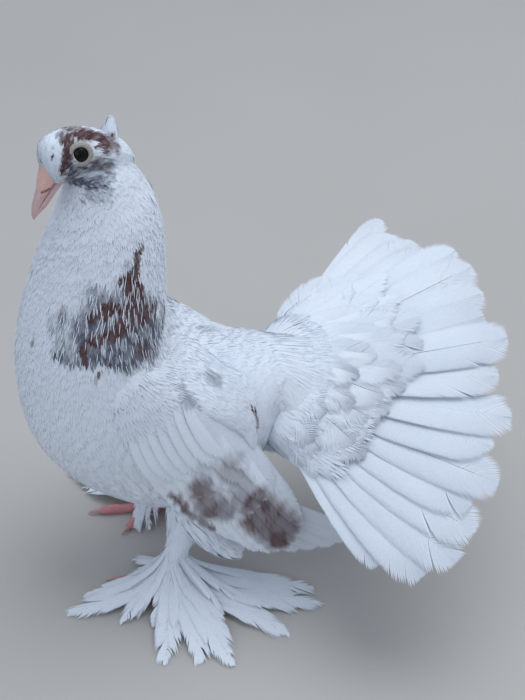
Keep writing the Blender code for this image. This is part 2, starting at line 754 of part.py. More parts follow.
def make_foot(side_name):
    """The pad, four toes flattened on the floor, and a claw at the end of each toe."""
    x, y = FEET[side_name]
    mirror = -1 if y > 0 else 1
    foot = tube("foot_" + side_name, [(x, y, z) for z, _ in FOOT_PAD], [r for _, r in FOOT_PAD])
    toes = []
    claws = []
    for toe_name, degrees, length in TOES:
        direction = mirror * math.radians(degrees + FOOT_TURN[side_name])
        ahead = np.array([-math.cos(direction), math.sin(direction), 0])
        path = [np.array([x, y, 0]) + ahead * length * share + UP * z for share, z, _ in TOE]
        toes.append(tube("toe", path, [r for _, _, r in TOE], 8))
        end = path[-1] + ahead * GAP
        size = CLAW_LENGTH * SHORT_CLAWS.get(toe_name, 1.0)
        claw_path = [end + ahead * size * share + UP * z for share, z, _ in CLAW]
        claws.append(tube("claw_%s_%s" % (side_name, toe_name), claw_path, [r for _, _, r in CLAW], 8))
    combine(foot, toes, "UNION")
    square = ((-FLOOR, -FLOOR), (FLOOR, -FLOOR), (FLOOR, FLOOR), (-FLOOR, FLOOR))
    floor = loft("floor", [[(x + a, y + b, z) for a, b in square] for z in (-FLOOR, 0)])
    combine(foot, [floor], "DIFFERENCE")
    for claw in claws:
        clear_of(claw, [foot])
    return foot, claws


def muff_vane(side_name, degrees, reach, half_width, level):
    """Plume of the foot that arches out over the toes and down to the floor."""
    x, y = FEET[side_name]
    out = math.copysign(1, y)
    direction = math.radians(degrees)
    ahead = np.array([-math.cos(direction), out * math.sin(direction), 0])
    wide = np.array([-math.sin(direction), -out * math.cos(direction), 0])
    start = MUFF_FALL[0][0]

    def fall(away):
        return np.interp(away, [r[0] for r in MUFF_FALL], [r[1] for r in MUFF_FALL])

    def at(share, across, lift):
        away = start + (reach - start) * share
        height = fall(away) - (fall(reach) - MUFF_TIP) * share ** 3
        height += level * (1 - 0.6 * share ** 2) + lift
        return np.array([x, y, height]) + ahead * away + wide * across
    return vane(at, half_width, PLUME, 2)


def make_muff(side_name, neighbours, chance):
    """Collar round the foot's top with plumes to all sides, which lie on three levels by turns."""
    x, y = FEET[side_name]
    collar = tube("muff_" + side_name, [(x, y, z) for z, _ in MUFF_COLLAR], [r for _, r in MUFF_COLLAR])
    plumes = []
    for k, (degrees, reach, half_width) in enumerate(MUFF_PLUMES[side_name]):
        turn = degrees + chance.uniform(-1, 1) * MUFF_TURN_CHANGE
        level = MUFF_LEVEL * (k % MUFF_LEVELS)
        plumes.append(muff_vane(side_name, turn, reach, half_width, level))
    combine(collar, plumes, "UNION")
    return clear_of(collar, neighbours)


def make_crest(head, chance):
    """The small peak of feathers at the back of the crown, lock by lock on a low core."""
    root = to_points(CREST_FROM)
    tip = to_points(CREST_TO)
    up = unit(tip - root)
    back = np.cross(ACROSS, up)
    rings = []
    for t, half_width, half_deep in CREST_CORE:
        ring = []
        for k in range(8):
            a = 2 * math.pi * k / 8
            ring.append(root + (tip - root) * t + ACROSS * half_width * math.cos(a)
                        + back * half_deep * math.sin(a))
        rings.append(head_place(ring))
    locks = []
    for k in range(CREST_LOCKS):
        side = 2 * k / (CREST_LOCKS - 1) - 1
        start = root + ACROSS * CREST_ROOTS * side
        rise = chance.uniform(-1, 1) * CREST_TIP_CHANGE - CREST_PEAK * abs(side)
        end = tip + ACROSS * CREST_TIPS * side + up * rise
        level = CREST_STEP * (k % 3 - 1)

        def at(share, across, lift):
            bend = CREST_CURL * share * share
            p = start + (end - start) * share + ACROSS * across + back * (lift + level - bend)
            return head_place([p])[0]
        locks.append(vane(at, CREST_HALF_WIDTH, LOCK, 2))
    crest = combine(loft("crest", rings), locks, "UNION")
    return clear_of(crest, [head])


def make_nostril(side):
    """Slit under the swollen edge of the cere, as a thin wedge to cut away."""
    rings = []
    for x, half_deep, half_high in NOSTRIL:
        z = NOSTRIL_START[1] + (x - NOSTRIL_START[0]) * NOSTRIL_DROP
        ring = []
        for k in range(8):
            a = 2 * math.pi * k / 8
            ring.append((x, side * (NOSTRIL_SIDE + half_deep * math.cos(a)), z + half_high * math.sin(a)))
        rings.append(head_place(ring))
    return loft("nostril", rings)


def centre_on_floor():
    """Moves all meshes so that the box's middle and its lowest point are at the origin."""
    corners = []
    for piece in bpy.data.objects:
        count = len(piece.data.vertices)
        flat = np.empty(count * 3)
        piece.data.vertices.foreach_get("co", flat)
        corners.append(flat.reshape(-1, 3))
    every = np.vstack(corners)
    low = every.min(0)
    high = every.max(0)
    shift = np.array([-(low[0] + high[0]) / 2, -(low[1] + high[1]) / 2, -low[2]])
    for piece, places in zip(bpy.data.objects, corners):
        piece.data.vertices.foreach_set("co", (places + shift).ravel())
        piece.data.update()
    print("shift in mm:", [round(v / MM, 3) for v in shift])


def build():
    for piece in list(bpy.data.objects):
        bpy.data.objects.remove(piece)
    chance = random.Random(SEED)
    torso = make_torso()
    head = make_head()
    combine(head, [make_socket(-1), make_socket(1)], "DIFFERENCE")
    neck = make_neck(head)
    crest = make_crest(head, chance)
    clear_of(crest, [neck])
    upper, lower, cere = make_bill(head)
    for side_name, side in (("left", -1), ("right", 1)):
        finish(make_eye("eye_" + side_name, side), EYE_DARK, 0.06)
        finish(make_eyelid("eyelid_" + side_name, side), LID_GREY, 0.6)
    tail = make_tail(chance)
    for side_name, side in (("left", -1), ("right", 1)):
        wing = make_wing("wing_" + side_name, side, [torso, neck], chance)
        primaries = make_primaries("primaries_" + side_name, side, wing)
        clear_of(primaries, [torso, tail])
        clear_of(wing, [tail])
        leg = make_leg(side_name, torso)
        foot, claws = make_foot(side_name)
        muff = make_muff(side_name, [leg, foot] + claws, chance)
        for piece in (wing, primaries, leg, muff):
            finish(piece, WHITE, 0.85)
        finish(foot, TOE_RED, 0.6)
        for claw in claws:
            finish(claw, CLAW_PINK, 0.4)
    for piece in (torso, neck, head, crest, tail):
        finish(piece, WHITE, 0.85)
    for piece in (upper, lower, cere):
        finish(piece, FLESH, 0.5)
    centre_on_floor()


build()
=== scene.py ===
"""Looks of the Indian fantail pigeon: skin, plumage barb by barb, eyes, bill, feet, light and camera.

The beak points to -X, the bird's left side is -Y and Z is up. Sizes are in millimetres in the
frame's own design place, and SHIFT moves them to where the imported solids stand.
"""
import json
import math

import bpy
import bmesh
import numpy as np
from mathutils import Matrix
from mathutils.bvhtree import BVHTree


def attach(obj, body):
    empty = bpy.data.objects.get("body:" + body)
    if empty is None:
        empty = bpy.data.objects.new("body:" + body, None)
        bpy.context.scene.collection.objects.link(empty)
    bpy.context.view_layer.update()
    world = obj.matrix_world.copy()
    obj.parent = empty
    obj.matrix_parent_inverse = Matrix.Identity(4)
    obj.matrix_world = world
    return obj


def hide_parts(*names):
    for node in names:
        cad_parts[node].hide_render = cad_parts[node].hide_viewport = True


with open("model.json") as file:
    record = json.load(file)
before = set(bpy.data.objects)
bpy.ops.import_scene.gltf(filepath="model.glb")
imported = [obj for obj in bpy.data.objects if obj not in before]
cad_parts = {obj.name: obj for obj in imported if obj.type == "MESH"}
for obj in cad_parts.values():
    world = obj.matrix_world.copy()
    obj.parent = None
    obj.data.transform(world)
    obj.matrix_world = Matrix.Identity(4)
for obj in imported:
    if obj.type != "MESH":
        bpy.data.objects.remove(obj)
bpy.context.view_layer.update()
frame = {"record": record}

MM = 0.001
UP = np.array([0.0, 0.0, 1.0])
ACROSS = np.array([0.0, 1.0, 0.0])

# Torso and neck: dorsal x z, ventral x z and half width of each chord, from the rump to the throat.
BODY_CHORDS = (
    (64, 138, 61, 88, 26),
    (53, 140, 49, 68, 35),
    (40, 140.5, 27, 52, 43),
    (27, 142, 0, 46, 48),
    (16, 148, -27, 56, 50),
    (10, 158, -51, 74, 50),
    (7.5, 171, -66, 98, 48),
    (7.5, 185, -71, 128, 45),
    (7.5, 200, -69.5, 157, 40),
    (7.5, 214, -63, 184, 34),
    (6, 227, -55.5, 206, 29),
    (3, 240, -48.5, 224, 24),
    (-2, 251, -44, 238, 19),
    (-8, 259, -40, 249, 13),
)
# How far the widest place of a chord lies towards the back.
BODY_SKEW = 0.10
# Rings of the rump on the fan that carry the body's surface on: distance from the fan's centre and half
# thickness, from the outermost.
RUMP_RINGS = ((96, 3.0), (80, 4.6), (61, 8.0), (40, 15.5))

# Middle between the eyes, and how far the head is turned to the bird's left, nodded and tilted, in degrees.
HEAD_PLACE = (-33.5, -1.0, 265.5)
HEAD_TURN = 25
HEAD_NOD = -18
HEAD_TILT = -17
# Skull in the head's own frame, from the forehead to the nape: x, top, bottom and half width.
SKULL = (
    (-19.1, 0.0, -7.5, 4.5),
    (-18.0, 5.4, -9.8, 7.6),
    (-15.0, 11.0, -11.5, 9.6),
    (-9.5, 13.6, -12.6, 10.8),
    (-3.0, 13.0, -14.5, 11.3),
    (4.0, 10.6, -17.2, 11.6),
    (11.0, 6.0, -20.0, 11.6),
    (18.0, -0.8, -22.0, 10.6),
    (23.5, -8.6, -21.5, 7.6),
)
# Eyes: how far out their centres lie, their radius, the degrees that they look forward, and the radius of
# the bare ring that feathers leave free.
EYE_SIDE = 7.0
EYE_RADIUS = 5.0
EYE_FORWARD = 14
BARE_RADIUS = 5.9
# Section of the eye's bare ring: radius of its middle, half width, place along the eye's axis, half height
# and how far its outer edge leans back.
LID_MIDDLE = 4.95
LID_HALF_WIDTH = 1.2
LID_PLACE = 3.35
LID_HALF_HEIGHT = 1.05
LID_LEAN = 0.35

# Bill in the head's own frame, from its root to its tip: x, ridge, mouth, chin and half width.
BILL = (
    (-13.0, 2.0, -6.4, -13.0, 5.0),
    (-17.0, 0.6, -8.0, -14.0, 4.7),
    (-21.0, -3.2, -10.2, -15.2, 4.0),
    (-25.0, -7.2, -12.4, -16.2, 3.3),
    (-28.5, -10.6, -14.4, -17.0, 2.6),
    (-31.5, -13.9, -16.6, -17.8, 1.9),
    (-33.6, -16.8, -18.2, -18.8, 1.0),
)
# Where the cere ends, then the nostril's height, half height and how far it presses the sides in.
CERE_END = -25.6
NOSTRIL = (-8.7, 0.55, 0.75)

# Fan of the tail: the point that its feathers spread from, then in degrees the lift of its middle, how far
# its sides sink at the arch's spread, its roll, and the middle and half width of the rump's rings on it.
FAN_CENTRE = (47.0, 0.0, 114.0)
FAN_LIFT = 5.5
FAN_ARCH = 10.0
FAN_ARCH_SPREAD = 52.0
FAN_ROLL = 16.5
FAN_MIDDLE = -4.5
FAN_HALF = 54.5
# Tips of the tail feathers: degrees across the fan and distance from its centre.
TAIL_TIPS = (
    (50.5, 146), (45.5, 136), (40.0, 137), (35.0, 135), (30.0, 146), (24.0, 145),
    (16.0, 140), (8.5, 134), (1.0, 141), (-8.0, 133), (-17.0, 140), (-24.5, 134), (-31.0, 143),
    (-37.0, 136), (-42.7, 145), (-48.2, 147), (-53.0, 140), (-58.5, 121),
)
# The top feather, the two outermost ones and how narrow they are, then each feather's root, half width,
# rise of its edge for each degree and step over its neighbours.
TAIL_MIDDLE = 1.0
OUTER_TAIL = (50.5, -58.5)
OUTER_SHARE = 0.72
TAIL_ROOT = 44.0
TAIL_HALF_WIDTH = 13.0
TAIL_TILT = 0.27
TAIL_DROP = 1.0

# Folded wing: where its axis starts and the degrees that it falls. Its rows are place along it, low and
# high edge across it, and middle, half width and half depth of the oval that it bends round.
WING_ORIGIN = (0.0, 0.0, 150.0)
WING_SLOPE = 60.0
WING = (
    (-18, -12, -3, -20, 40, 43),
    (-8, -24, -2, -22, 42, 46),
    (12, -32, 5, -22, 47, 48.5),
    (35, -34, 14, -22, 55, 49.5),
    (58, -33, 20, -17, 54, 48.5),
    (82, -31, 16, -10, 54, 48),
    (104, -23, 14, -6, 56, 48.5),
    (120, -12, 11, -4, 60, 49),
    (127, -4, 6, -4, 60, 49),
)
# Feet: middle of each sole, degrees that it is turned, height of the ankle's top, and name, direction and
# length of each toe.
FEET = {"left": (3.5, -30.0), "right": (-2.0, 34.0)}
FOOT_TURN = {"left": 18.0, "right": 4.0}
ANKLE_HEIGHT = 11.0
TOES = (("inner", 42, 22), ("middle", -4, 30), ("outer", -46, 23), ("hind", 176, 15))
CLAW_LENGTH = 7.0
# Root and tip of the longest primary.
PRIMARY_ROOT = (36.0, -46.5, 82.0)
PRIMARY_TIP = (100.0, -42.0, 36.0)
# Height of a foot feather over the floor by its distance from the leg.
MUFF_FALL = ((2.5, 27), (5, 21), (10, 15), (16, 11), (24, 8.2), (34, 6), (48, 4), (62, 2.6), (90, 1.2))
# Foot and tip of the crest in the head's own frame.
CREST_FROM = (18.4, 0.0, -4.0)
CREST_TO = (23.6, 0.0, 4.2)

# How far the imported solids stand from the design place.
sole = frame["record"]["mounts"][0]["pos_m"]
SHIFT = np.array([sole[0] / MM - FEET["left"][0], sole[1] / MM - FEET["left"][1], 0.0])

# Camera of the photograph: its turn and height angles, distance, scale in pixels for each mm at its
# target, and the target.
VIEW_TURN = -7.0
VIEW_HEIGHT = 38.0
VIEW_DISTANCE = 1050.0
VIEW_SCALE = 1.94
VIEW_TARGET = (56.0, -2.0, 137.0)
PICTURE_HEIGHT = 700


def unit(v):
    """Vectors scaled to length 1."""
    v = np.asarray(v, float)
    return v / np.linalg.norm(v, axis=-1, keepdims=True)


def along(rows, t):
    """Rows at places t, from 0 to the last index, on a Catmull-Rom curve through the rows."""
    rows = np.asarray(rows, float)
    last = len(rows) - 1
    t = np.clip(np.asarray(t, float), 0, last)
    i = np.minimum(t.astype(int), last - 1)
    f = (t - i)[..., None]
    p0 = rows[np.maximum(i - 1, 0)]
    p1 = rows[i]
    p2 = rows[i + 1]
    p3 = rows[np.minimum(i + 2, last)]
    return 0.5 * (2 * p1 + (p2 - p0) * f + (2 * p0 - 5 * p1 + 4 * p2 - p3) * f * f
                  + (3 * p1 - p0 - 3 * p2 + p3) * f ** 3)


def table(rows, x):
    """Value at x between rows of two numbers."""
    return np.interp(x, [r[0] for r in rows], [r[1] for r in rows])


def smooth(x, low=0.0, high=1.0):
    """Soft step from 0 at low to 1 at high."""
    s = np.clip((np.asarray(x, float) - low) / (high - low), 0, 1)
    return s * s * (3 - 2 * s)


def circle(sides):
    """Angles of a ring's corners."""
    return 2 * math.pi * np.arange(sides) / sides


def finer(rows, count):
    """That many rows, spread evenly along the curve through the given ones."""
    return along(rows, np.linspace(0, len(rows) - 1, count))


def row_at(rows, x):
    """Row of the curve where the rows' first column, which rises, has the value x."""
    return along(rows, np.interp(x, [row[0] for row in rows], range(len(rows))))


def spread_out(points, gap):
    """Numbers of points that keep their gap from those chosen before them."""
    cell = gap.max()
    boxes = {}
    chosen = []
    for n, (corner, p) in enumerate(zip(np.floor(points / cell).astype(int).tolist(), points.tolist())):
        limit = gap[n] ** 2
        near = []
        for dx in (-1, 0, 1):
            for dy in (-1, 0, 1):
                for dz in (-1, 0, 1):
                    near += boxes.get((corner[0] + dx, corner[1] + dy, corner[2] + dz), ())
        if all((p[0] - q[0]) ** 2 + (p[1] - q[1]) ** 2 + (p[2] - q[2]) ** 2 >= limit for q in near):
            boxes.setdefault(tuple(corner), []).append(p)
            chosen.append(n)
    return np.array(chosen, int)


def head_axes():
    """Columns are the head's own X, Y and Z in the world."""
    turn, nod, tilt = (math.radians(v) for v in (HEAD_TURN, HEAD_NOD, HEAD_TILT))
    cz, sz = math.cos(turn), math.sin(turn)
    cy, sy = math.cos(nod), math.sin(nod)
    cx, sx = math.cos(tilt), math.sin(tilt)
    about_z = np.array([[cz, -sz, 0], [sz, cz, 0], [0, 0, 1]])
    about_y = np.array([[cy, 0, sy], [0, 1, 0], [-sy, 0, cy]])
    about_x = np.array([[1, 0, 0], [0, cx, -sx], [0, sx, cx]])
    return about_z @ about_y @ about_x


HEAD_AXES = head_axes()


def head_place(points):
    """Points of the head's own frame in the world."""
    return np.asarray(points, float) @ HEAD_AXES.T + np.asarray(HEAD_PLACE)


def head_local(points):
    """Points of the world in the head's own frame."""
    return (np.asarray(points, float) - np.asarray(HEAD_PLACE)) @ HEAD_AXES


def fan_point(radius, azimuth, lift=0.0):
    """Point of the tail's fan. The azimuth is negative on the bird's left."""
    radius, azimuth, lift = np.broadcast_arrays(*(np.asarray(v, float) for v in (radius, azimuth, lift)))
    a = np.radians(azimuth)
    rise = np.radians(FAN_LIFT - FAN_ARCH * (azimuth / FAN_ARCH_SPREAD) ** 2 + FAN_ROLL * np.sin(a))
    out = np.stack([np.cos(rise) * np.cos(a), np.cos(rise) * np.sin(a), np.sin(rise)], -1)
    over = np.stack([-np.sin(rise) * np.cos(a), -np.sin(rise) * np.sin(a), np.cos(rise)], -1)
    return np.asarray(FAN_CENTRE) + out * radius[..., None] + over * lift[..., None]


def body_rings(t, sides):
    """Rings of the torso and neck at chords t. The angle runs from the back over the bird's right."""
    row = along(BODY_CHORDS, t)
    dorsal = np.stack([row[:, 0], 0 * row[:, 0], row[:, 1]], -1)
    ventral = np.stack([row[:, 2], 0 * row[:, 0], row[:, 3]], -1)
    middle = (dorsal + ventral) / 2
    half = np.linalg.norm(dorsal - ventral, axis=-1)[:, None] / 2
    up = (dorsal - ventral) / (2 * half)
    a = circle(sides)
    wide = row[:, 4:5] * np.sin(a) * (1 + BODY_SKEW * np.cos(a))
    return (middle[:, None] + up[:, None] * (half * np.cos(a))[..., None]
            + ACROSS * wide[..., None])


def rump_rings(sides):
    """Rings of the rump on the fan, from the outermost."""
    across = math.pi / 2 - circle(sides)
    return np.array([fan_point(radius, FAN_MIDDLE + FAN_HALF * np.cos(across), thick * np.sin(across))
                     for radius, thick in RUMP_RINGS])


class Form:
    """Surface through a grid of points, closed round its second index. Its normals point outward."""

    def __init__(self, rings, first, last):
        self.points = rings
        self.first = first
        self.last = last
        self.count, self.sides = rings.shape[:2]
        self.step = (last - first) / (self.count - 1)
        self.by_row = np.gradient(rings, axis=0) / self.step
        self.by_turn = (np.roll(rings, -1, 1) - np.roll(rings, 1, 1)) * self.sides / 2
        normal = unit(np.cross(self.by_turn, self.by_row))
        middle = rings.mean(1, keepdims=True)
        if ((rings - middle) * normal).sum() < 0:
            normal = -normal
        self.normal = normal

    def read(self, grid, t, turn):
        """Values of a grid at rows t and at turns, of which one goes all round."""
        x = np.clip((t - self.first) / self.step, 0, self.count - 1.001)
        y = (np.asarray(turn) % 1.0) * self.sides
        i = x.astype(int)
        j = y.astype(int) % self.sides
        f = (x - i)[..., None]
        g = (y - np.floor(y))[..., None]
        k = (j + 1) % self.sides
        return ((grid[i, j] * (1 - g) + grid[i, k] * g) * (1 - f)
                + (grid[i + 1, j] * (1 - g) + grid[i + 1, k] * g) * f)

    def place(self, t, turn, lift=0.0):
        """Points at rows t and at turns, lifted off the surface."""
        lift = np.broadcast_to(lift, np.shape(t))[..., None]
        return self.read(self.points, t, turn) + unit(self.read(self.normal, t, turn)) * lift

    def scatter(self, chance, spacing, tries):
        """Places spread over the surface with at least spacing(t, turn) between them."""
        row = np.linalg.norm(self.by_row, axis=-1)
        turn = np.linalg.norm(self.by_turn, axis=-1)
        area = (row * turn).ravel()
        pick = chance.choice(area.size, tries, p=area / area.sum())
        i, j = np.divmod(pick, self.sides)
        t = self.first + np.clip(i + chance.random(tries) - 0.5, 0, self.count - 1) * self.step
        a = ((j + chance.random(tries)) / self.sides) % 1.0
        gap = spacing(t, a)
        t, a, gap = t[gap > 0], a[gap > 0], gap[gap > 0]
        chosen = spread_out(self.place(t, a), gap)
        return t[chosen], a[chosen]


# The body's rows run from the rump's outermost ring over the chord 0 to the throat.
BODY_FIRST = -float(len(RUMP_RINGS))
BODY_LAST = len(BODY_CHORDS) - 1.0
# Step between the fine rows of a form.
FORM_STEP = 0.05


def make_body_form():
    sides = 180
    whole = np.concatenate([rump_rings(sides), body_rings(np.arange(0.0, BODY_LAST + 1), sides)])
    fine = np.arange(BODY_FIRST, BODY_LAST + 1e-6, FORM_STEP)
    flat = whole.reshape(len(whole), -1)
    return Form(along(flat, fine - BODY_FIRST).reshape(len(fine), sides, 3), BODY_FIRST, BODY_LAST)


def make_skull_form():
    row = along(SKULL, np.arange(0.0, len(SKULL) - 1 + 1e-6, FORM_STEP))
    middle = (row[:, 1:2] + row[:, 2:3]) / 2
    half = (row[:, 1:2] - row[:, 2:3]) / 2
    a = circle(120)
    y = row[:, 3:4] * np.sin(a)
    z = middle + half * np.cos(a)
    x = np.broadcast_to(row[:, 0:1], y.shape)
    return Form(head_place(np.stack([x, y, z], -1)), 0.0, len(SKULL) - 1.0)


class Coat:
    """Blades of plumage that become one mesh. Each blade is a closed sliver with a ridge and a tip."""

    def __init__(self, name):
        self.name = name
        self.points = []
        self.faces = []
        self.uv = []
        self.fields = {"brown": [], "slate": [], "tone": [], "reach": [], "quill": []}
        self.count = 0

    def add(self, centre, up, half, ridge, root_uv, brown, slate, tone, quill=0.0):
        """Adds blades of n stations each. centre and up are (blades, stations, 3)."""
        n, stations = centre.shape[:2]
        ahead = np.gradient(centre, axis=1)
        side = unit(np.cross(ahead, up))
        half = np.broadcast_to(half, (n, stations))[..., None]
        ridge = np.broadcast_to(ridge, (n, stations))[..., None]
        body = stations - 1
        ring = np.stack([centre - side * half, centre + side * half, centre + up * ridge], 2)[:, :body]
        points = np.concatenate([ring.reshape(n, body * 3, 3), centre[:, -1:]], 1)
        one = []
        for k in range(body - 1):
            left, right, top = 3 * k, 3 * k + 1, 3 * k + 2
            for a, b in ((left, right), (right, top), (top, left)):
                one.append((a, a + 3, b + 3))
                one.append((a, b + 3, b))
        last = 3 * (body - 1)
        tip = 3 * body
        one += [(last, tip, last + 1), (last + 1, tip, last + 2), (last + 2, tip, last), (0, 1, 2)]
        one = np.array(one)
        per = tip + 1
        faces = one[None] + (np.arange(n) * per)[:, None, None] + self.count
        share = np.concatenate([np.repeat(np.linspace(0, 1, stations)[:body], 3), [1.0]])
        lateral = np.concatenate([np.tile([-0.5, 0.5, 0.0], body), [0.0]])
        spread = np.stack([lateral, share - 0.5], -1) * 0.003
        self.points.append(points.reshape(-1, 3))
        self.faces.append(faces.reshape(-1, 3))
        self.uv.append((root_uv[:, None] + spread[None]).reshape(-1, 2))

        def by_vertex(value):
            value = np.asarray(value, float)
            if value.ndim == 2:
                rings = np.repeat(value[:, :body], 3, axis=1)
                return np.concatenate([rings, value[:, -1:]], 1).ravel()
            return np.repeat(np.broadcast_to(value, (n,)), per)

        for key, value in (("brown", brown), ("slate", slate), ("tone", tone), ("quill", quill)):
            self.fields[key].append(by_vertex(value))
        self.fields["reach"].append(np.tile(share, n))
        self.count += n * per

    def build(self, material, slot, *nodes):
        points = np.concatenate(self.points)
        faces = np.concatenate(self.faces)
        uv = np.clip(np.concatenate(self.uv), 0.001, 0.999)
        piece = mesh_from(self.name, points, faces)
        layer = piece.data.uv_layers.new(name="OFBake")
        layer.data.foreach_set("uv", uv[faces.ravel()].astype(np.float32).ravel())
        for key, parts in self.fields.items():
            keep_field(piece, key, np.concatenate(parts))
        piece.data.shade_flat()
        dress(piece, material, slot, *nodes)


def placed(name, data):
    """New object of the scene."""
    holder = bpy.data.objects.new(name, data)
    bpy.context.scene.collection.objects.link(holder)
    return holder


def aimed(name, data, right, up, back, place):
    """New object at a place that looks away from its back axis."""
    holder = placed(name, data)
    holder.matrix_world = Matrix([[right[i], up[i], back[i], place[i]] for i in range(3)] + [[0, 0, 0, 1]])
    return holder


def mesh_from(name, points, faces):
    """Object from points in mm in the design place and triangles."""
    mesh = bpy.data.meshes.new(name)
    faces = np.asarray(faces)
    mesh.vertices.add(len(points))
    mesh.vertices.foreach_set("co", ((np.asarray(points) + SHIFT) * MM).astype(np.float32).ravel())
    mesh.loops.add(faces.size)
    mesh.loops.foreach_set("vertex_index", faces.astype(np.int32).ravel())
    mesh.polygons.add(len(faces))
    mesh.polygons.foreach_set("loop_start", (np.arange(len(faces)) * faces.shape[1]).astype(np.int32))
    mesh.update(calc_edges=True)
    return placed(name, mesh)


def dress(piece, material, slot, *nodes):
    """Gives a piece its material and its place in the frame."""
    piece.data.materials.clear()
    piece.data.materials.append(material)
    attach(piece, "root")
    if nodes:
        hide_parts(*nodes)


def ripple(points, size, seed):
    """Soft random field between about -1 and 1, whose swells are size mm wide."""
    chance = np.random.default_rng(seed)
    waves = 10
    points = np.asarray(points, float)
    total = np.zeros(points.shape[:-1])
    for _ in range(waves):
        way = unit(chance.normal(size=3)) * 2 * math.pi / (size * chance.uniform(0.7, 1.6))
        total += np.sin(points @ way + chance.uniform(0, 2 * math.pi))
    return total / math.sqrt(waves / 2)


# How much of a mark's half width its edge takes to fade on either side.
SOFT_EDGE = 0.45


def near_line(points, start, end, radius):
    """1 near the line from start to end and 0 past the radius, with a soft edge."""
    start = np.asarray(start, float)
    way = np.asarray(end, float) - start
    rest = np.asarray(points, float) - start
    share = np.clip(rest @ way / max(way @ way, 1e-9), 0, 1)
    away = np.linalg.norm(rest - share[..., None] * way, axis=-1) / (radius * 1.25)
    return 1 - smooth(away, 1 - SOFT_EDGE, 1 + SOFT_EDGE)


def strokes(points, rows):
    """Strength of the marks at the points, from rows of start, end, half width and strength."""
    total = np.zeros(np.shape(points)[:-1])
    for start, end, radius, strength in rows:
        total = np.maximum(total, near_line(points, start, end, radius) * strength)
    return total


# Marks of the neck and breast: from, to, half width and strength of each brown or grey stroke.
BODY_BROWN = (
    ((-6, -25, 221), (-7, -28, 213), 2.2, 0.9),
    ((-7, -28, 213), (-15, -32, 208), 2.6, 1.0),
    ((-14, -32, 208), (-6, -31, 201), 3.4, 1.0),
    ((-32, -35, 192), (-24, -35, 197), 2.4, 0.9),
    ((-24, -35, 197), (-7, -32, 196), 3.2, 1.0),
    ((-8, -33, 196), (0, -27, 187), 3.0, 0.9),
    ((-19, -38, 190), (-10, -36, 187), 2.4, 0.8),
    ((-32, -39, 181), (-12, -37, 188), 2.5, 0.9),
    ((-12, -37, 188), (-6, -33, 192), 2.4, 0.8),
    ((-36, -39, 176), (-34, -41, 171), 2.2, 0.95),
    ((5, -16, 182), (5, -19, 175), 2.2, 0.8),
    ((-45, -29, 191), (-47, -29, 186), 1.6, 0.6),
    ((-7, -37, 176), (-2, -34, 167), 4.2, 0.5),
    ((-16, -43, 166), (-6, -39, 161), 2.5, 0.25),
    ((-26, -44, 167), (-32, -45, 159), 1.4, 0.85),
    ((-60, -21, 171), (-61, -20, 169), 1.6, 0.6),
)
BODY_SLATE = (
    ((-30, -38, 185), (-3, -33, 179), 11.0, 0.75),
    ((-28, -41, 178), (-9, -39, 173), 7.0, 0.75),
    ((-48, -31, 185), (-38, -37, 182), 6.5, 0.4),
    ((-46, -33, 175), (-34, -40, 175), 4.5, 0.5),
    ((-27, -34, 200), (-3, -30, 189), 7.5, 0.6),
    ((-12, -30, 212), (-14, -33, 204), 4.5, 0.5),
    ((-50, -33, 168), (-29, -43, 169), 2.0, 0.8),
    ((-26, -43, 170), (-14, -42, 168), 2.4, 0.8),
    ((-12, -41, 170), (-4, -37, 170), 2.2, 0.6),
)
# Marks of the head in its own frame, with the same columns.
HEAD_BROWN = (
    ((-3.5, -9, 6), (-8, -11, 1.5), 2.3, 1.0),
    ((-8, -11, 1.5), (-12, -10, -3.6), 2.0, 1.0),
    ((-3.8, -7, 8.5), (2, -7, 9), 2.6, 0.9),
    ((2, -7, 9), (8, -8, 4.4), 3.0, 1.0),
    ((1, -2, 12), (9.5, -4, 6.5), 2.4, 0.75),
    ((8, -7, 5), (12, -8, 1), 3.0, 1.0),
    ((12, -8, 1.5), (15.7, -9.5, -3.4), 3.3, 1.0),
    ((10, -10.4, -0.6), (10.6, -11.4, -4.4), 2.0, 0.8),
    ((-10, -10, -6), (-13, -8, -9), 1.4, 0.6),
    ((3, -11, -8.5), (7, -9, -13), 2.8, 0.5),
    ((-11, -5, -20), (-11, -11, -28), 0.8, 0.6),
    ((-9, -10.5, -24), (-7.7, -12.3, -26), 1.1, 0.6),
    ((-15.7, 0, -20.7), (-14.5, -7, -27), 2.6, 0.12),
)
HEAD_SLATE = (
    ((-10.8, -8, 9), (-15, -9.2, 3), 0.6, 0.9),
    ((-18, 2, 5.4), (-19, 3.5, -1), 0.6, 0.9),
    ((-8, -10, -5), (3, -11, -12), 3.2, 0.8),
    ((-9, -8.5, -8), (4, -12.5, -14), 2.6, 0.8),
    ((-10, -6.5, -10), (2.7, -12.4, -17), 1.8, 1.0),
    ((-8, -8, -14), (1, -13, -19), 2.2, 0.8),
    ((3, -10.6, -8.5), (8, -11, -12), 2.6, 0.7),
    ((-7, -9, -20), (-3.6, -13, -22.5), 2.8, 0.5),
    ((-3, -11.5, -20), (3, -14.5, -21), 2.2, 0.45),
    ((-0.3, -13, -20), (2, -14.6, -22), 0.9, 0.9),
    ((-2.4, -14, -24), (-1.3, -15, -25.7), 0.9, 0.9),
    ((-4, -4, 12.6), (-3, -7, 10), 1.9, 0.6),
    ((22, -5, -19), (22.6, -5, -22), 1.0, 0.6),
    ((-8.7, -6, -10), (-7.4, -1.9, -12.8), 1.6, 0.9),
    ((-7.4, -1.9, -13), (-1.7, -8.7, -17.5), 2.2, 0.8),
    ((-6.4, -2.8, -15.5), (1.8, -8.6, -16.8), 1.8, 0.7),
    ((1.8, -8.6, -16.8), (6.7, -10.1, -17.3), 2.0, 0.55),
    ((-5.2, -6.8, -18.6), (2.3, -11.1, -19.3), 2.0, 0.6),
    ((-5.8, -8, -20.8), (-1.5, -12.6, -25.1), 2.6, 0.4),
)


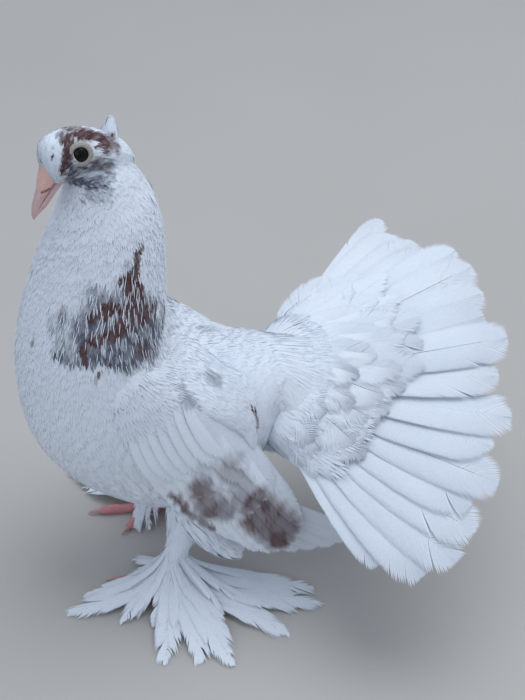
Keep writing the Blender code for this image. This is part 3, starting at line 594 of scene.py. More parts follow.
def both_sides(points, rows, far):
    """Marks of the left side, and the same marks mirrored and weakened to the share far on the right."""
    return np.maximum(strokes(points, rows), strokes(points * (1, -1, 1), rows) * far)


def body_marks(points):
    """Brown and grey of the body's plumage at points."""
    points = np.asarray(points) + ripple(points, 9, 3)[..., None] * 1.3
    cloud = smooth(ripple(points, 6, 31), -0.7, 0.6)
    return (both_sides(points, BODY_BROWN, 0.85) * (0.82 + 0.18 * cloud),
            both_sides(points, BODY_SLATE, 0.85) * (0.88 + 0.12 * cloud))


def head_marks(points):
    """Brown and grey of the head's plumage at points."""
    local = head_local(points)
    local = local + ripple(local, 4, 8)[..., None] * 0.5
    cloud = smooth(ripple(local, 3, 32), -0.8, 0.6)
    return (both_sides(local, HEAD_BROWN, 1.0) * (0.8 + 0.2 * cloud),
            both_sides(local, HEAD_SLATE, 1.0) * (0.68 + 0.32 * cloud))


def all_marks(points):
    brown, slate = body_marks(points)
    head_brown, head_slate = head_marks(points)
    return np.maximum(brown, head_brown), np.maximum(slate, head_slate)


SLOPE = math.radians(WING_SLOPE)
WING_AXIS = np.array([math.cos(SLOPE), 0, -math.sin(SLOPE)])
WING_WIDE = np.array([math.sin(SLOPE), 0, math.cos(SLOPE)])


def wing_point(place, across, lift, side):
    """Point of the wing at a place along and across it, lifted out from the oval that it bends round."""
    place, across, lift = np.broadcast_arrays(*(np.asarray(v, float) for v in (place, across, lift)))
    row = row_at(WING, place)
    a = np.arcsin(np.clip((across - row[..., 3]) / row[..., 4], -0.98, 0.98))[..., None]
    normal = unit(WING_WIDE * np.sin(a) / row[..., 4:5] - ACROSS * np.cos(a) / row[..., 5:6])
    p = (np.asarray(WING_ORIGIN) + WING_AXIS * place[..., None] + WING_WIDE * across[..., None]
         - ACROSS * row[..., 5:6] * np.cos(a) + normal * lift[..., None])
    return p * (1, -side, 1)


def under_wing(points, margin=4.0):
    """True where a point of the body lies under a folded wing, well inside its edge."""
    rest = np.asarray(points) - np.asarray(WING_ORIGIN)
    place = rest @ WING_AXIS
    across = rest @ WING_WIDE
    row = row_at(WING, place)
    inside = (across > row[:, 1] + margin) & (across < row[:, 2] - margin)
    return inside & (place > WING[0][0] + margin) & (place < WING[-2][0]) & (np.abs(points[:, 1]) > 15)


def in_skull(points):
    """True where a point of the neck lies well inside the head."""
    local = head_local(points)
    row = row_at(SKULL, local[:, 0])
    middle = (row[:, 1] + row[:, 2]) / 2
    half = (row[:, 1] - row[:, 2]) / 2
    away = (local[:, 1] / row[:, 3]) ** 2 + ((local[:, 2] - middle) / half) ** 2
    return (away < 0.85) & (local[:, 0] > SKULL[0][0]) & (local[:, 0] < SKULL[-1][0])


# Blade of a fan by share of its length: share of its half width and of its ridge.
BLADE_OUTLINE = ((0, 0.55), (0.5, 1), (0.8, 0.75), (1, 0))
BLADE_RIDGE = ((0, 0.8), (0.5, 1), (1, 0))
# How much a mark is strengthened, how much a blade may lack of it at random, how much tone a feather and a
# blade have of their own, and how much shorter a fan is at its edges.
MARK_GAIN = 1.5
MARK_LOSS = 0.4
OWN_TONE = 0.35
EDGE_SHORTER = 0.22


def add_fans(coat, chance, centre, up, half_width, blades, fill, ridge, marks, root_uv, tip_white=0.0):
    """Adds fans of blades with their widths, marks and tones. There is one half_width and root_uv a fan."""
    size, stations = centre.shape[:2]
    share = np.linspace(0, 1, stations)
    half = np.repeat(half_width, blades)[:, None] / max(blades - 1, 1) * 2 * fill
    half = half * table(BLADE_OUTLINE, share)
    pale = 1 - tip_white * smooth(share, 0.55, 1)
    brown, slate = [np.clip(mark * MARK_GAIN - MARK_LOSS * chance.random(size), 0, 1)[:, None] * pale
                    for mark in marks(centre[:, stations // 2])]
    tone = np.repeat(chance.random(len(root_uv)), blades) * OWN_TONE + chance.random(size) * OWN_TONE
    root_uv = np.repeat(root_uv, blades, axis=0)
    coat.add(centre, up, half, ridge * table(BLADE_RIDGE, share), root_uv, brown, slate, tone)


def lay(coat, form, chance, t, turn, flow, length, half_width, lifts, blades, swerve=0.0, marks=body_marks,
        stations=3, camber=0.3, ridge=0.07, fill=0.75, loose=0.25):
    """Feathers on a form, each a fan of blades from one root. flow is 1 or -1 along the form's rows."""
    n = len(t)
    length = np.broadcast_to(length, n) * chance.uniform(0.85, 1.15, n)
    half_width = np.broadcast_to(half_width, n)
    turned = np.broadcast_to(swerve, n) + chance.normal(0, 0.07, n)
    by_row = np.linalg.norm(form.read(form.by_row, t, turn), axis=-1)
    by_turn = np.linalg.norm(form.read(form.by_turn, t, turn), axis=-1)
    share = np.linspace(0, 1, stations)
    spread = np.linspace(-1, 1, blades) if blades > 1 else np.zeros(1)
    spread = spread[None, :, None] + chance.normal(0, 0.08, (n, blades, 1))
    reach = length[:, None, None] * (1 - EDGE_SHORTER * spread ** 2)
    reach = reach * chance.uniform(0.9, 1.08, (n, blades, 1))
    ahead = share * reach
    side = half_width[:, None, None] * spread * (0.3 + 0.7 * share ** 0.8)
    cosine, sine = np.cos(turned)[:, None, None], np.sin(turned)[:, None, None]
    forward = ahead * cosine - side * sine
    lateral = ahead * sine + side * cosine
    rows = t[:, None, None] + flow * forward / by_row[:, None, None]
    turns = turn[:, None, None] + lateral / by_turn[:, None, None]
    low, high = lifts
    stir = chance.normal(0, 1, (n, 1, 1)) * loose
    lift = low + (high - low) * share ** 0.8 - camber * spread ** 2 * share + stir * share
    lift = lift + chance.normal(0, 0.06, (n, blades, 1)) * share
    centre = form.place(rows, turns, lift).reshape(n * blades, stations, 3)
    up = unit(form.read(form.normal, rows, turns)).reshape(n * blades, stations, 3)
    v = (t - form.first) / (form.last - form.first)
    root_uv = np.stack([turn * 0.96 + 0.02, v * 0.96 + 0.02], -1)
    add_fans(coat, chance, centre, up, half_width, blades, fill, ridge, marks, root_uv)


# Barbs: how high the middle stands over the edges, half width by the space between two, the least share of
# the shaft that they slant over, and where the last one leaves it. The shaft ends a little further out.
BARB_RIDGE = 0.03
BARB_HALF = 0.6
BARB_SLANT = 0.04
LAST_BARB = 0.955
SHAFT_END = 0.965


def no_mark(share, across):
    """Neither brown nor grey anywhere on a feather."""
    return 0.0


def vane(coat, chance, at, length, half_width, outline, spacing, root_uv, brown=no_mark, slate=no_mark,
         quill=0.4, camber=0.6, ruffle=0.35, fray=0.1, splits=0.06, part_by=1.2, stations=5, lean=1.1,
         rachis=0.65):
    """Feather with a vane of barbs on both sides of its shaft. at(share, across, lift) gives its points."""
    shares = np.array([r[0] for r in outline], float)
    widths = np.array([r[1] for r in outline], float) * half_width
    path = np.concatenate([[0], np.cumsum(np.hypot(np.diff(shares * length), np.diff(widths)))])
    v = np.linspace(0, 1, stations)
    tone = chance.uniform(0, 1)
    phase = chance.uniform(0, 6.28)
    swell = chance.uniform(3, 6)
    for side in (-1, 1):
        count = max(int(path[-1] / spacing), 4)
        s = (np.arange(count) + 0.5 + chance.uniform(-0.15, 0.15, count)) / count * path[-1]
        end = np.interp(s, path, shares)
        wide = np.interp(s, path, widths)
        root = np.clip(end - (BARB_SLANT + lean * wide / length), 0.0, LAST_BARB)
        clump = np.cumsum(chance.random(count) < splits * (0.3 + 1.4 * smooth(end, 0.6, 0.9)))
        worn = fray * (0.25 + 0.75 * smooth(end, 0.7, 0.95))
        shift = chance.normal(0, part_by, clump[-1] + 1)[clump] / length * smooth(end, 0.5, 0.9)
        shorter = 1 - worn * chance.random(count) ** 2 - 0.6 * worn * chance.random(clump[-1] + 1)[clump]
        end = np.minimum(root + (end - root) * shorter + shift * smooth(wide / half_width, 0.1, 0.6), 1.01)
        wide = wide * shorter
        share = root[:, None] + (end - root)[:, None] * v ** 1.25
        across = side * wide[:, None] * v
        wave = ruffle * np.sin(end * swell + phase + side)[:, None]
        lift = (wave - camber) * v ** 2 + chance.normal(0, 0.02, (count, 1)) * v
        centre = at(share, across, lift)
        up = unit(at(share, across, lift + 0.5) - centre)
        half = spacing * BARB_HALF * np.interp(v, (0, 0.85, 0.95, 1), (1, 1, 0.8, 0))
        uv = root_uv(root, side * wide * 0.3)
        coat.add(centre, up, half, BARB_RIDGE * np.interp(v, (0, 0.9, 1), (1, 1, 0)), uv,
                 np.broadcast_to(brown(share, across), share.shape),
                 np.broadcast_to(slate(share, across), share.shape),
                 tone * 0.8 + chance.uniform(0, 0.2, count))
    share = np.linspace(0.0, SHAFT_END, 9)[None]
    centre = at(share, 0 * share, 0 * share)
    up = unit(at(share, 0 * share, 0 * share + 0.5) - centre)
    half = rachis * np.interp(share, (0, 0.5, 1), (1, 0.6, 0.15))
    coat.add(centre - up * 0.1, up, half, half * 0.75 + 0.1, root_uv(share[:, 0], np.zeros(1)),
             np.broadcast_to(brown(share, 0 * share), share.shape), 0.0, tone, quill)


# Outlines of feathers: share of the length from the root and share of the half width.
TAIL_OUTLINE = ((0, 0.3), (0.2, 0.55), (0.42, 0.82), (0.6, 0.95), (0.78, 1.0), (0.9, 0.98), (0.96, 0.84),
                (0.99, 0.6), (1.0, 0.3), (1.0, 0.0))
COVERT_OUTLINE = ((0, 0.4), (0.25, 0.75), (0.5, 0.96), (0.7, 1.0), (0.85, 0.93), (0.94, 0.72), (0.99, 0.35),
                  (1.0, 0.0))
PLUME_OUTLINE = ((0, 0.35), (0.2, 0.7), (0.45, 0.95), (0.72, 1.0), (0.88, 0.88), (0.96, 0.6), (1.0, 0.15),
                 (1.0, 0.0))


def fan_uv(azimuth, root, tip):
    """Reader of the texture place of a feather's barbs on the fan."""
    def read(share, across):
        radius = root + (tip - root) * share
        degrees = azimuth + np.degrees(across / radius)
        return np.stack([(degrees + 75) / 150, radius / 165], -1)
    return read


def fan_feather(azimuth, tilt, root, tip, stand, bend=0.0):
    """Points of a feather of the fan. It stands off the fan, and the tilt raises an edge for each degree."""
    def at(share, across, lift):
        radius = root + (tip - root) * share
        degrees = np.degrees(across / radius)
        sway = bend * share ** 2
        return fan_point(radius, azimuth + degrees + sway, stand + tilt * degrees + lift)
    return at


# Tiers of coverts on the fan: how many, root, how far their tips end before the rim, half width and how
# far they stand off the fluff under them.
TAIL_COVERTS = (
    (12, 45, -6, 12.5, 0.4),
    (10, 40, 4, 12.5, 1.1),
    (9, 34, 17, 11.0, 1.8),
)
UNDER_COVERTS = (12, 46, 84, 10.5, -5.2)
# Where the coverts end on the fan: azimuth and distance from its centre.
COVERT_RIM = ((-55, 64), (-44, 68), (-34, 71), (-13, 80), (-4, 90), (16, 97), (36, 97), (50, 88))
COVERT_SPAN = (-52, 53)
DARK_QUILLS = (1.0, 24.0, -31.0, -42.7)


def tail_shade(strength):
    """Faint grey of a tail feather, stronger at its edge and tip."""
    def read(share, across):
        return strength * (smooth(share, 0.7, 1.0) + 0.6 * smooth(np.abs(across), 8, 13))
    return read


def make_tail(chance):
    coat = Coat("tail_feathers")
    for azimuth, tip in TAIL_TIPS:
        outer = 0 if azimuth == TAIL_MIDDLE else math.copysign(1, azimuth - TAIL_MIDDLE)
        lift = {-1: -TAIL_DROP / 2, 0: TAIL_DROP, 1: -TAIL_DROP}[outer]
        half_width = TAIL_HALF_WIDTH * (OUTER_SHARE if azimuth in OUTER_TAIL else 1.08)
        at = fan_feather(azimuth, outer * TAIL_TILT, TAIL_ROOT, tip, lift, chance.uniform(-1, 1))
        vane(coat, chance, at, tip - TAIL_ROOT, half_width, TAIL_OUTLINE, 1.0,
             fan_uv(azimuth, TAIL_ROOT, tip), slate=tail_shade(chance.uniform(0.03, 0.16)),
             quill=0.9 if azimuth in DARK_QUILLS else 0.1, camber=0.5, ruffle=0.6, fray=0.06, splits=0.05,
             part_by=1.4, rachis=0.5)
    return coat


def make_tail_coverts(chance):
    coat = Coat("tail_coverts")
    for count, root, before, half_width, stand in TAIL_COVERTS:
        for k in range(count):
            azimuth = np.interp(k / (count - 1), (0, 1), COVERT_SPAN) + chance.uniform(-1.5, 1.5)
            tip = table(COVERT_RIM, azimuth) - before + chance.uniform(-4, 4)
            outer = math.copysign(0.06, azimuth - FAN_MIDDLE)
            grey = chance.uniform(0.1, 0.45) * smooth(-azimuth, -25, 10)

            def at(share, across, lift):
                radius = root + (tip - root) * share
                degrees = np.degrees(across / radius)
                rise = smooth(share, 0.05, 0.5)
                base = fluff_depth(radius, azimuth + degrees) + 0.4 + stand * rise - 4.0 * (1 - rise)
                return fan_point(radius, azimuth + degrees, base + outer * degrees + lift)

            vane(coat, chance, at, tip - root, half_width, COVERT_OUTLINE, 0.95, fan_uv(azimuth, root, tip),
                 slate=lambda s, x, g=grey: g * smooth(s, 0.55, 1.0),
                 quill=1.0 if grey > 0.2 and root > 35 else 0.1, camber=0.35, ruffle=0.25, fray=0.2,
                 splits=0.07, part_by=1.0, stations=4, rachis=0.42)
    count, root, tip, half_width, stand = UNDER_COVERTS
    for k in range(count):
        azimuth = np.interp(k / (count - 1), (0, 1), COVERT_SPAN) + chance.uniform(-1.2, 1.2)
        end = tip + chance.uniform(-4, 4)
        at = fan_feather(azimuth, math.copysign(0.1, FAN_MIDDLE - azimuth), root, end, stand)
        vane(coat, chance, at, end - root, half_width, COVERT_OUTLINE, 1.2, fan_uv(azimuth, root, end),
             quill=0.1, fray=0.15, splits=0.05, part_by=0.8, stations=4, rachis=0.3)
    return coat


# Tiers of the wing from the edge up: how many feathers, from and to across it, root and tip along it, how
# much the tips follow the rounded edge, half width and lift of root and tip.
WING_TIERS = (
    (10, -27, 14, 40, 127, 0.048, 6.6, 0.6, 1.1),
    (9, -27, 13, 36, 95, 0.020, 7.2, 1.3, 1.9),
    (8, -26, 9, 26, 74, 0.016, 7.8, 2.0, 2.7),
    (7, -25, 5, 14, 57, 0.012, 7.8, 2.6, 3.2),
)
WING_STEP = 0.9
# Brown marks of the wing by place along and across it: from, to, half width and strength.
WING_BROWN = (
    ((89, 2), (114, 6), 7.0, 1.0),
    ((99, -3), (118, 1), 7.0, 1.0),
    ((81, -3), (94, 3), 4.8, 0.65),
    ((60, -14), (80, -20), 4.8, 0.9),
    ((73, -13), (84, -12), 4.6, 0.55),
    ((61, 0.5), (74, 2), 4.6, 0.5),
    ((74, 2), (85, 1.5), 4.2, 0.45),
    ((58, -28), (77, -29), 2.0, 0.95),
    ((77, -29), (93, -26), 2.0, 0.95),
    ((43, 29), (48, 28.5), 1.2, 0.9),
    ((48, 28.5), (53, 26), 1.3, 0.6),
)
# Grey of the wing, with the same columns. The strokes from (6, 4) and from (14, 5) are painted shadow along
# the lower edge of the cape.
WING_SLATE_AND_SHADOW = (
    ((18, 17), (21, 18), 1.6, 0.4),
    ((6, 4), (9, 5), 1.8, 0.4),
    ((14, 5), (18, 6), 2.0, 0.5),
    ((78, -14), (86, -14), 4.0, 0.5),
    ((108, 9), (118, 10), 2.4, 0.4),
    ((56, 4), (60, 8), 3.0, 0.3),
    ((50, -8), (54, -4), 3.0, 0.25),
)


def wing_strokes(place, across, rows):
    points = np.stack(np.broadcast_arrays(place, across), -1).astype(float)
    points[..., 1] += 0.8 * np.sin(points[..., 0] * 0.8)
    return strokes(points, rows)


def mottled(place, across):
    """Uneven share from 0 to 1 in cloudy spots of a few millimetres."""
    points = np.stack(np.broadcast_arrays(place, across, 0.0), -1).astype(float)
    return smooth(ripple(points, 9, 21) + 0.3 * ripple(points, 4, 22), -0.7, 0.8)


def wing_colour(place, across):
    """Brown and grey at places along and across the wing."""
    cloud = mottled(place, across)
    brown = wing_strokes(place, across, WING_BROWN)
    slate = wing_strokes(place, across, WING_SLATE_AND_SHADOW)
    return brown * (0.68 + 0.27 * cloud), np.maximum(slate, 0.35 * brown * (1 - cloud))


def wing_marks(points):
    """Brown and grey of the wing's top and the cape at points of the near or the far side."""
    rest = np.asarray(points) - np.asarray(WING_ORIGIN)
    place, across = rest @ WING_AXIS, rest @ WING_WIDE
    return wing_colour(place, across)


def make_wing(name, side, chance):
    coat = Coat(name)
    for count, low, high, root, reach, shorter, half_width, root_lift, tip_lift in WING_TIERS:
        spacing = (high - low) / (count - 1)
        for k in range(count):
            across0 = low + spacing * k
            tip = reach - shorter * across0 ** 2 + chance.uniform(-2, 2)

            def at(share, wide, lift):
                base = root_lift + (tip_lift - root_lift) * np.minimum(share * 1.6, 1.0)
                place = root + (tip - root) * share
                return wing_point(place, across0 + wide, base - WING_STEP / spacing * wide + lift, side)

            def uv(share, wide):
                place = root + (tip - root) * share
                return np.stack([(across0 + wide + 45) / 90, (place + 30) / 170], -1)

            def brown(share, wide):
                fringe = 1 - 0.5 * smooth(share, 0.93, 0.99)
                return wing_colour(root + (tip - root) * share, across0 + wide)[0] * fringe

            def slate(share, wide):
                place = root + (tip - root) * share
                return np.maximum(wing_colour(place, across0 + wide)[1], 0.12 * smooth(share, 0.8, 1))

            vane(coat, chance, at, tip - root, half_width, COVERT_OUTLINE, 1.0, uv, brown=brown, slate=slate,
                 quill=0.1, camber=0.35, ruffle=0.15, fray=0.15, splits=0.04, part_by=0.6, stations=4,
                 rachis=0.25)
    return coat


def wing_form(side, end=62, top=2.6):
    """Closed surface of the folded wing from its front to a place along it."""
    place = np.linspace(WING[0][0] + 1, end, 80)
    row = row_at(WING, place)[:, None]
    a = circle(90)
    across = (row[..., 1] + row[..., 2]) / 2 - (row[..., 2] - row[..., 1]) / 2 * np.cos(a)
    lift = np.where(np.sin(a) > 0, top * np.abs(np.sin(a)) ** 0.4, 1.5 * np.sin(a))
    points = wing_point(np.broadcast_to(place[:, None], across.shape), across, lift, side)
    return Form(points, 0.0, 8.0)


def cushion_under(name, form, depth, last=None):
    """Closed body under the coat of a form, as deep as given, up to the form's row last."""
    points = form.points[:last:2, ::2]
    normal = form.normal[:last:2, ::2]
    cushion = closed_loft(name, points - normal * depth)
    plain_fields(cushion)
    return cushion


def make_lining(name, side, chance):
    """Soft feathers on the wing's inner side, on a cushion that fills the wing."""
    form = wing_form(side, 112, 0.1)
    coat = Coat(name)
    t, turn = form.scatter(chance, lambda t, turn: np.where((turn < 0.5) | (t > 7), 0, 4.2), 5000)
    lay(coat, form, chance, t, turn, 1, 19.0, 4.6, (-0.3, 0.7), 7, loose=0.15, marks=unmarked)
    cushion = closed_loft(name + "_cushion", form.points[::2, ::2])
    plain_fields(cushion)
    return coat, cushion


def make_shoulder(name, side, chance):
    """Small soft feathers over the front of the wing, where no single vane shows."""
    form = wing_form(side)
    coat = Coat(name)

    def spacing(t, turn):
        return np.where(((turn > 0.52) & (turn < 0.98)) | (t > 4.9), 0, 2.5)

    t, turn = form.scatter(chance, spacing, 14000)
    late = chance.random(len(t)) > smooth(t, 3.6, 4.9)
    lay(coat, form, chance, t[late], turn[late], 1, 14.5, 4.0, (-1.0, 0.7), 7, camber=0.12, loose=0.15,
        marks=wing_marks, ridge=0.04)
    return coat


# Cape of soft feathers from the wing's top edge to the back: place along the wing, inner edge on the near
# side of the back and how far the cape bulges between.
CAPE = (
    (-18, 0, -20, 166, 0.5),
    (-8, 8, -12, 158, 2.5),
    (4, 15, -2, 149.5, 3.5),
    (16, 22, -3, 145, 4.0),
    (28, 29, -12, 142, 4.5),
    (40, 40, -18.5, 138.5, 4.5),
    (50, 46, -24, 134, 3.5),
    (58, 49, -30, 127, 2.2),
    (64, 50, -34, 114, 0.5),
)


def cape_form(side):
    rows = finer(CAPE, 80)
    inset, rise, sink = (3.5, 1.2, 0.0) if side < 0 else (0.5, 3.0, 2.2)
    outer = wing_point(rows[:, 0], row_at(WING, rows[:, 0])[:, 2] - inset, rise, side)[:, None]
    chord = (rows[:, 1:4] * (1, -side, 1) - UP * sink)[:, None] - outer
    ahead = np.gradient(outer[:, 0], axis=0)[:, None]
    out = unit(np.cross(chord, ahead))
    out = out * np.sign(out[..., 2:3])
    a = circle(72)
    height = rows[:, 4:5] * (1.0 if side < 0 else 0.15)
    lift = np.where(np.sin(a) > 0, height * np.abs(np.sin(a)) ** 0.8, -3.5 * np.abs(np.sin(a)))
    points = outer + chord * ((1 - np.cos(a)) / 2)[None, :, None] + out * lift[..., None]
    return Form(points, 0.0, len(CAPE) - 1.0)


def make_cape(name, side, chance):
    """Soft feathers of the shoulder over the gap between wing and back, on a cushion of their own."""
    form = cape_form(side)
    coat = Coat(name)
    t, turn = form.scatter(chance, lambda t, turn: np.where((turn > 0.52) & (turn < 0.98), 0, 2.2), 9000)
    lay(coat, form, chance, t, turn, 1, 14.0, 3.6, (-0.8, 0.7), 7, camber=0.15, loose=0.15, marks=wing_marks)
    return coat, cushion_under(name + "_cushion", form, 0.8)


# Fluff of the rump round the base of the fan: distance from its centre, half of its spread in degrees and
# how thick it is over and under the tail.
FLUFF = (
    (24, 76, 18.0, 17.0),
    (34, 70, 15.5, 13.0),
    (44, 64, 12.5, 10.0),
    (54, 60, 8.9, 7.2),
    (64, 56, 5.5, 4.6),
    (74, 53, 3.1, 2.7),
    (84, 51, 1.6, 1.4),
)
# Middle of the fluff across the fan, and how bluntly it ends at its sides. 1 is an ellipse.
FLUFF_MIDDLE = -1.5
BLUNT = 0.6


def fluff_depth(radius, azimuth):
    """Thickness of the fluff over the fan, which ends bluntly at its sides."""
    rows = row_at(FLUFF, radius)
    share = np.clip((azimuth - FLUFF_MIDDLE) / rows[..., 1], -1, 1)
    return rows[..., 2] * (1 - share ** 2) ** (BLUNT / 2)


def make_fluff(chance):
    """Loose fluff over and under the tail's base that its coverts rise from, on a cushion of its own."""
    rows = finer(FLUFF, 70)[:, None]
    a = circle(120)
    thick = np.where(np.sin(a) > 0, rows[..., 2], -rows[..., 3]) * np.abs(np.sin(a)) ** BLUNT
    points = fan_point(rows[..., 0], FLUFF_MIDDLE - rows[..., 1] * np.cos(a), thick)
    form = Form(points, 0.0, len(FLUFF) - 1.0)
    coat = Coat("coat_tail_base")
    t, turn = form.scatter(chance, lambda t, turn: np.where((t < 0.1) | (t > 3.8), 0, 2.6), 16000)
    late = chance.random(len(t)) > smooth(t, 2.2, 3.9)
    lay(coat, form, chance, t[late], turn[late], 1, 19.0, 4.6, (-0.9, 1.2), 9, camber=0.15, loose=0.3,
        ridge=0.04)
    return coat, cushion_under("tail_base_cushion", form, 0.9, 42)


# Primaries: how many, the degrees and the length between two, their half width and the step sideways.
PRIMARY_COUNT = 6
PRIMARY_FAN = 5.0
PRIMARY_SHORTER = 5.5
PRIMARY_HALF_WIDTH = 8.0
PRIMARY_STEP_ACROSS = 1.5


def make_primaries(name, side, chance):
    coat = Coat(name)
    root = np.asarray(PRIMARY_ROOT)
    axis = unit(np.asarray(PRIMARY_TIP) - root)
    length = np.linalg.norm(np.asarray(PRIMARY_TIP) - root)
    out = unit(np.array([0.0, -1.0, 0.0]) + axis * axis[1])
    wide = np.cross(out, axis)
    for k in range(PRIMARY_COUNT):
        turn = math.radians(PRIMARY_FAN * k)
        reach = length - PRIMARY_SHORTER * k

        def at(share, across, lift):
            ahead = reach * share
            across = across - PRIMARY_STEP_ACROSS * k
            x = (ahead * math.cos(turn) + across * math.sin(turn))[..., None]
            y = (across * math.cos(turn) - ahead * math.sin(turn))[..., None]
            z = (lift - WING_STEP * k)[..., None]
            return (root + axis * x + wide * y + out * z) * (1, -side, 1)

        def uv(share, across):
            return np.stack([(across + 12 + 25 * k) / 170, share * reach / 90 + 0.02], -1)

        vane(coat, chance, at, reach, PRIMARY_HALF_WIDTH, TAIL_OUTLINE, 0.9, uv,
             slate=lambda s, x: 0.2 + 0 * s, quill=0.2, camber=0.3, ruffle=0.15, fray=0.05, splits=0.03,
             part_by=0.6, rachis=0.6)
    return coat


# Muff plumes of each foot: degrees from the beak's direction outward, reach and half width.
MUFF_PLUMES = {
    "left": (
        (-46, 32, 4.5), (-18, 28, 4.5), (6, 50, 6.0), (18, 61, 8.5), (36, 40, 5.5), (64, 33, 4.0),
        (83, 59, 8.0), (105, 60, 7.0), (115, 69, 8.0), (148, 74, 8.5), (158, 84, 9.0), (171, 78, 9.0),
    ),
    "right": (
        (-76, 19, 5.0), (-62, 22, 5.0), (-50, 21, 4.5), (27, 46, 5.5), (37, 62, 7.5),
        (49, 60, 7.0), (70, 44, 5.5), (86, 56, 7.0), (101, 62, 7.0), (117, 64, 7.0), (134, 50, 6.0),
        (150, 68, 7.0), (162, 76, 7.5), (174, 72, 6.5),
    ),
}
# Height between two layers of plumes.
MUFF_LEVEL = 0.95


def make_muff(name, side_name, chance):
    coat = Coat(name)
    x, y = FEET[side_name]
    out = math.copysign(1, y)
    rows = []
    for k, (degrees, reach, half_width) in enumerate(MUFF_PLUMES[side_name]):
        rows.append((degrees, reach, half_width, MUFF_LEVEL * (k % 3)))
        for _ in range(2):
            rows.append((degrees + chance.uniform(-9, 9), reach * chance.uniform(0.5, 0.85),
                         half_width * 0.8, MUFF_LEVEL * (k % 3) + chance.uniform(0.8, 2.4)))
    for _ in range(9):
        rows.append((chance.uniform(128, 180), chance.uniform(28, 48), 2.4, chance.uniform(3.5, 9)))
    for degrees, reach, half_width, level in rows:
        direction = math.radians(degrees)
        ahead = np.array([-math.cos(direction), out * math.sin(direction), 0])
        wide = np.array([-math.sin(direction), -out * math.cos(direction), 0])
        start = MUFF_FALL[0][0]
        bend = chance.uniform(-0.1, 0.1)

        def at(share, across, lift):
            away = start + (reach - start) * share
            height = table(MUFF_FALL, away) - (table(MUFF_FALL, reach) - 0.9) * share ** 3
            height = np.maximum(height + level * (1 - 0.6 * share ** 2) + lift, 0.25)
            sway = across + bend * away * share
            return (np.array([x, y, 0]) + ahead * away[..., None] + wide * sway[..., None]
                    + UP * height[..., None])

        def uv(share, across):
            away = start + (reach - start) * share
            p = ahead[:2] * away[..., None] + wide[:2] * across[..., None]
            return p / 190 + 0.5

        vane(coat, chance, at, reach - start, half_width, PLUME_OUTLINE, 0.85, uv, quill=0.05, camber=0.8,
             ruffle=0.4, fray=0.36, splits=0.13, part_by=2.8, stations=4, rachis=0.3, lean=1.8)
    return coat


def make_crest(chance):
    """Peaked tuft of white locks on a cone that rises from the back of the crown."""
    root = np.asarray(CREST_FROM)
    tip = np.asarray(CREST_TO)
    up = unit(tip - root)
    back = np.cross(ACROSS, up)
    k = np.linspace(0, 1, 30)[:, None]
    a = circle(48)
    path = root - up * 3.0 + (tip - root + up * 2.0) * k - back * 1.0 * (1 - k)
    wide = 5.6 * (1 - k ** 1.5) + 0.6
    deep = 4.6 * (1 - k ** 1.2) + 0.5
    rings = path[:, None] + ACROSS * (wide * np.cos(a))[..., None] + back * (deep * np.sin(a))[..., None]
    form = Form(head_place(rings), 0.0, 3.0)
    coat = Coat("crest_locks")
    t, turn = form.scatter(chance, lambda t, turn: np.full(len(t), 0.8), 6000)
    lay(coat, form, chance, t, turn, 1, 5.2, 1.1, (-0.4, 0.7), 3, camber=0.1, loose=0.25, ridge=0.03,
        marks=head_marks)
    return coat, cushion_under("crest_cushion", form, 0.3)


# Rows of the body between which its coat is laid.
RUMP_END = -0.9
NECK_END = 11.3


def body_spacing(t, turn):
    """Distance between feather roots of the body: small on the neck, none where the coat isn't seen."""
    gap = np.interp(t, (-2, 0, 4, 6.0, 8.5, 10, 11.3), (3.0, 3.0, 2.9, 2.5, 2.1, 1.8, 1.7))
    return np.where((t < RUMP_END) | (t > NECK_END), 0, gap)


def unmarked(points):
    """No brown and no grey at any point."""
    return np.zeros(points.shape[:-1]), np.zeros(points.shape[:-1])


# Where the neck is streaked above its marks: from, to, half width and strength.
COLLAR = (
    ((-30, -38, 186), (-3, -33, 182), 13.0, 1.0),
    ((-16, -32, 205), (0, -26, 200), 13.0, 1.0),
    ((4, -14, 215), (5, -16, 190), 13.0, 1.0),
)


def in_collar(points):
    """True where the neck is streaked: round its marks and on the nape above them."""
    brown, slate = body_marks(points + (0, 0, 3.0))
    near = strokes(points * (1, -1, 1), COLLAR) + strokes(points, COLLAR)
    return (brown + slate > 0.08) | (near > 0.35)


# Body feathers by row: length and half width of plain ones, length of marked ones in the collar and of the
# white streaks over them, and how many of those have a streak.
PLAIN_LENGTH = ((-1, 17.0), (0, 14.5), (6, 12.5), (8, 11.5), (10, 8.5), (11, 7.0))
PLAIN_HALF_WIDTH = ((0, 4.4), (6, 4.0), (8, 2.6), (10, 1.8))
COLLAR_LENGTH = ((6, 11.0), (8, 10.0), (11, 8.0))
STREAK_LENGTH = ((6, 7.5), (8, 7.0), (11, 6.0))
STREAK_SHARE = 0.72


def add_collar(coat, form, chance, t, turn):
    """Narrow marked feathers of the collar, with thin white streaks over most of them."""
    lay(coat, form, chance, t, turn, -1, table(COLLAR_LENGTH, t), 2.0, (-0.9, 0.1), 3, camber=0.1, loose=0.12,
        fill=0.7, ridge=0.04, marks=all_marks)
    pale = chance.random(len(t)) < STREAK_SHARE
    t = t[pale] + chance.normal(0, 0.08, pale.sum())
    turn = turn[pale] + chance.normal(0, 0.01, pale.sum())
    lay(coat, form, chance, t, turn, -1, table(STREAK_LENGTH, t), 1.0, (-0.4, 0.6), 1,
        swerve=chance.normal(0, 0.12, len(t)), stations=4, camber=0.0, loose=0.12, fill=0.1, ridge=0.05,
        marks=unmarked)


